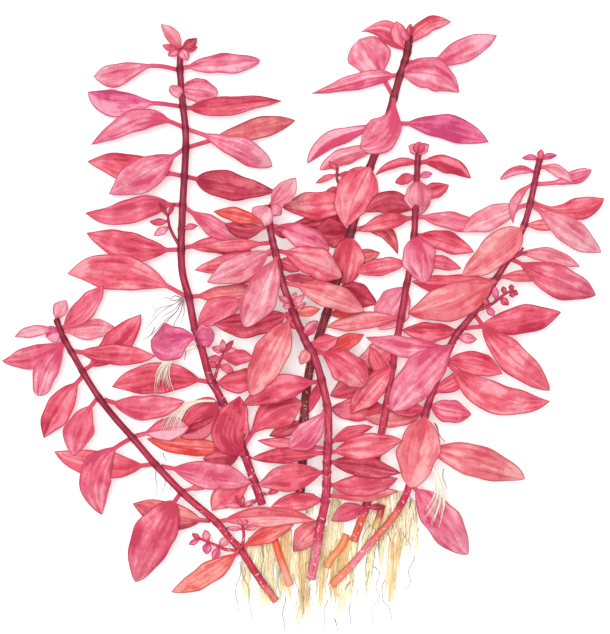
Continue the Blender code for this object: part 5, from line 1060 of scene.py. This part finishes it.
shape = bmesh.new()
layers = new_layers(shape)
for points, half, tone in LOCKS:
    run = math.dist(points[0], points[-1])
    for kind, (per, width, lift, flatness, sides, short) in LOCK_KINDS.items():
        broad = kind == "broad"
        count = max(2, round(half * per))
        for each in range(count):
            begin = 0 if broad else 0.5 * chance.random() ** 2
            end = 1 - short * chance.random()
            share = np.linspace(begin, end, max(FEWEST_POINTS, round(run * ROW_LENGTH)))
            across = (each + 0.5) / count * 2 - 1 if broad else chance.uniform(-1, 1)
            phase = chance.uniform(0, 6)
            off = across * (half - LOCK_EDGE) * (1 - LOCK_TAPER * share)
            off = off + 0.25 * np.sin(0.35 * run * share + phase)
            off = off + 0.1 * np.sin(1.1 * run * share + 2 * phase)
            off = off + chance.uniform(-1, 1) * LOCK_SPREAD * share
            radius = chance.uniform(*width)
            z = radius * 0.5 + 0.1 + lock_height(share) * (lift * chance.uniform(0.7, 1))
            thin = radius * np.clip(1.12 - np.linspace(0, 1, len(share)) ** 3, 0.1, 1)
            if begin > 0.02:
                thin[0] = radius * 0.3
            shade = tone + SHADE_SPREAD * chance.uniform(-1, 1) + (0.0 if broad else UPPER_SHADE)
            ahead = chance.uniform(-1, 1) if broad else 0.0
            x, y = on_route(points, share).T
            add_strand(shape, layers, np.column_stack([x + off, y + ahead, z]), thin, sides,
                       min(max(shade, 0), 1), flatness)
ROOT_COLOURS = "fffbee", "fdf7d9", "f3efbf", "fbf3d8", "f9ebc6", "f5e0ae", "ecca92"
skin = root_skin("pale_root_skin", ROOT_COLOURS, "d6b27c")
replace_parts(finish_piece("root_strands", shape, [skin]), "root_mat")


# Hair roots: older and single, grey brown and as thin as thread. Most lie on the pale locks, some run out
# past them to the surface, and a few grow from higher joints.
HAIR_ROUTES = [
    [(80.7, 25), (80.3, 21), (82, 17), (83, 12), (83.5, 6), (84, 2.5)],
    [(80.2, 24), (79.8, 19), (78.2, 13), (79.3, 10), (79.7, 6.5)], [(95, 12), (94.3, 5), (95, 0.5)],
    [(97.7, 20), (99.5, 12), (97.5, 7), (97.7, 4)], [(103.5, 15), (102.5, 8)],
    [(124.5, 22.5), (126.3, 20.5), (125.5, 15), (126.2, 12), (124, 7), (124.3, 2)],
    [(128, 18), (127.5, 11), (130, 8.5), (130.5, 3.5)], [(131, 36), (132.5, 31.5)],
    [(129.5, 33.5), (130.3, 31), (129.8, 27.5)], [(137, 46), (136, 39), (136.5, 37)],
    [(138.3, 26), (136.5, 21), (136.7, 17), (134.5, 13)], [(139.5, 35), (138, 31)],
    [(116.8, 17), (115, 14), (115, 10)], [(112.8, 13), (112.8, 9)], [(109, 11), (108, 6), (107.8, 1)],
    [(111.8, 5), (112.3, 0.6)], [(117, 10), (116.5, 6), (117, 2)], [(119, 15), (119, 12)],
    [(123.5, 36), (121, 31)], [(125.5, 30), (126.8, 24)],
    [(61.2, 112), (57.5, 111.2), (55.5, 112.2), (54.2, 111.7)],
    [(61, 111.8), (56, 109), (51.5, 105.5), (48.5, 101.5)],
    [(61, 111.5), (57.5, 108), (54.5, 106), (53.5, 105)],
    [(61, 111.5), (58.5, 107.5), (55, 103.5), (52.5, 100.8)], [(61.2, 111.4), (59.5, 106.5), (57.5, 102)],
    [(60.9, 112), (58, 112.8), (56.2, 111.6)], [(61, 111.3), (57.8, 106.8), (53.2, 103), (50.5, 99.5)],
    [(61.4, 111.2), (60.9, 107.2), (60.4, 103.5)], [(61.3, 111.5), (60, 108), (58.8, 104.8)],
    [(61, 111.5), (57, 109.8), (52.5, 108.3), (50, 105)], [(51.2, 102.4), (49.8, 99.4), (47.6, 98.1)],
    [(52.3, 56.6), (51.8, 51), (52.2, 46)], [(53.5, 56), (54.6, 51), (54, 46.5)],
    [(55, 54.5), (56.6, 51), (56.8, 47.5)], [(54.3, 60.2), (55.3, 57.5)],
    [(144.8, 70.2), (146.3, 67), (148.6, 63.8)], [(145.2, 70), (146.5, 66.5), (147.1, 64)],
    [(148.2, 55), (147.9, 51.5), (149.1, 48)], [(60.8, 97.5), (61.5, 94.6), (61.3, 91.3)],
]
HAIR_RADIUS, TOP_HAIR_RADIUS, HAIR_SIDES = 0.17, 0.1, 5
HAIR_STEPS, HAIR_RISE, HAIR_LOW = 1.6, 6.2, 0.25        # points for each mm, height at the start and the end
FULL_RISE = 12                                          # a hair of this length starts at the full height
HAIRS_ON_TOP, TOP_POINTS = 60, 14

shape = bmesh.new()
layers = new_layers(shape)
for points in HAIR_ROUTES:
    run = sum(math.dist(first, second) for first, second in zip(points, points[1:]))
    flat = route(points, max(FEWEST_POINTS, round(run * HAIR_STEPS)))
    share = np.linspace(0, 1, len(flat))
    flat[:, 0] += 0.25 * np.sin(share * run * 0.8 + flat[0, 0])
    z = HAIR_RISE * (1 - share) * min(1, run / FULL_RISE) + HAIR_LOW
    add_strand(shape, layers, np.column_stack([flat, z]), HAIR_RADIUS * (1.05 - 0.5 * share), HAIR_SIDES,
               chance.random())
for each in range(HAIRS_ON_TOP):
    points, half, _ = LOCKS[round(chance.uniform(-0.49, len(LOCKS) - 0.51))]
    begin = chance.uniform(-0.05, 0.65)
    share = np.linspace(max(begin, 0), min(begin + chance.uniform(0.2, 0.5), 1), TOP_POINTS)
    kink = np.sin(14 * share + 6 * chance.random()) + 0.5 * np.sin(31 * share + each)
    x, y = on_route(points, share).T
    x = x + chance.uniform(-1, 1) * half * (1 - 0.4 * share) + 0.4 * kink + chance.uniform(-2, 2) * share
    line = np.column_stack([x, y + chance.uniform(-1, 1), lock_height(share) * 1.02])
    radii = TOP_HAIR_RADIUS * np.linspace(1.1, 0.5, TOP_POINTS)
    add_strand(shape, layers, line, radii, HAIR_SIDES, chance.random())
skin = root_skin("grey_hair_root_skin", ("9c9a9c", "7c7a7e", "b4b0ae"), "625d5a", patchy=False)
finish_piece("hair_roots", shape, [skin])


# Aerial roots: small fans of white and cream threads from joints on the outer shoots, with a few grey
# hairs among them. They lie loosely over the leaves below.
THREADS_A_TUFT, THREAD_POINTS, THREAD_SIDES = 18, 14, 5
TUFT_SPREAD, THREAD_RADII = 4.4, (0.13, 0.3)
TUFT_COLOURS = "efece4", "ebe4d0", "e8d6ce", "e4dcb8", "ece8dc"
skin = root_skin("white_aerial_root_skin", TUFT_COLOURS, "c8b096", patchy=False)
for leaf in leaves:
    if leaf.tone != "tuft":
        continue
    shape = bmesh.new()
    layers = new_layers(shape)
    for each in range(THREADS_A_TUFT):
        share = np.linspace(0, 1 - 0.35 * chance.random() ** 2, THREAD_POINTS)
        across = (each + chance.uniform(-0.3, 0.3)) / (THREADS_A_TUFT - 1) * 2 - 1
        aside = TUFT_SPREAD * across * (0.05 + 0.95 * share ** 2.2) + 0.35 * share * np.sin(7 * share + each)
        z = leaf.height(share, 0) + chance.uniform(-0.15, 0.15)
        line = np.column_stack([leaf.beside(share, aside), z])
        add_strand(shape, layers, line, chance.uniform(*THREAD_RADII) * (1.1 - 0.85 * share), THREAD_SIDES,
                   chance.random())
    piece = finish_piece(f"{leaf.shoot}_aerial_root_tuft_{leaf.number + 1:02d}", shape, [skin])
    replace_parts(piece, f"{leaf.shoot}_shoot_aerial_roots_{leaf.number + 1:02d}")


# Old stem ends: short orange bits of older stems among the roots, where the bunch was pulled apart.
# They are round, and lie across the root locks. Each is given by its route, its radius and its colours:
# near the tip, lower down, dark strokes with painted side shade, and the painted highlight along the crown.
OLD_ENDS = [
    ([(91.5, 32), (92.8, 27), (94.5, 22), (96.7, 16)], 1.2, ("e8603f", "f3a08c", "cf5440", "f6b28a")),
    ([(115.5, 33), (113.8, 29), (110, 24.5), (109, 22)], 1.2, ("ee8a5c", "ee9a66", "cf6a44", "f6c09a")),
    ([(127.3, 42.7), (126.5, 39), (125, 35)], 1.2, ("b8304a", "dcb878", "8e5a48", "f0d8a0")),
]
OLD_END_POINTS, OLD_END_SIDES, OLD_END_HEIGHTS, OLD_END_STROKES = 20, 12, (5.8, 4.0), 16
for number, (points, radius, colours) in enumerate(OLD_ENDS, 1):
    shape = bmesh.new()
    height = np.linspace(*OLD_END_HEIGHTS, OLD_END_POINTS)
    add_stem(shape, new_layers(shape), np.column_stack([route(points, OLD_END_POINTS), height]),
             np.full(OLD_END_POINTS, radius), OLD_END_SIDES, np.linspace(0, 1, OLD_END_POINTS),
             np.zeros(OLD_END_POINTS), OLD_END_STROKES / (OLD_END_POINTS - 1))
    finish_piece(f"old_stem_end_{number}", shape, [stem_skin(f"old_stem_{number}_skin", *colours)])


# Floor and light: a plain white surface like the plate's sheet, an even white surround and one soft light
# from above. The sheet glows a little, so that gaps between leaves stay as pale as on the plate.
FLOOR_SIZE, GLOW = 3000.0, 0.2
SURROUND, SUN, SUN_ANGLE, SUN_TILT = 0.42, 2.8, 18, -2.5

shape = bmesh.new()
bmesh.ops.create_grid(shape, x_segments=1, y_segments=1, size=FLOOR_SIZE / 2 * MM)
mesh = bpy.data.meshes.new("white_floor")
shape.to_mesh(mesh)
shape.free()
floor = bpy.data.objects.new("white_floor", mesh)
bpy.context.collection.objects.link(floor)
card = bpy.data.materials.new("matt_white_card")
card.use_nodes = True
surface = card.node_tree.nodes["Principled BSDF"].inputs
surface["Base Color"].default_value = linear("fbfbfa")
surface["Roughness"].default_value = 0.9
surface["Specular IOR Level"].default_value = 0.1
surface["Emission Color"].default_value = (1, 1, 1, 1)
surface["Emission Strength"].default_value = GLOW
mesh.materials.append(card)

world = bpy.data.worlds.new("white_surround")
world.use_nodes = True
world.node_tree.nodes["Background"].inputs["Color"].default_value = (1, 1, 1, 1)
world.node_tree.nodes["Background"].inputs["Strength"].default_value = SURROUND
bpy.context.scene.world = world
sun_data = bpy.data.lights.new("soft_overhead_light", "SUN")
sun_data.energy = SUN
sun_data.angle = math.radians(SUN_ANGLE)
sun = bpy.data.objects.new("soft_overhead_light", sun_data)
sun.rotation_euler = (math.radians(SUN_TILT), math.radians(SUN_TILT), 0)
bpy.context.collection.objects.link(sun)
bpy.context.scene.view_settings.view_transform = "Standard"
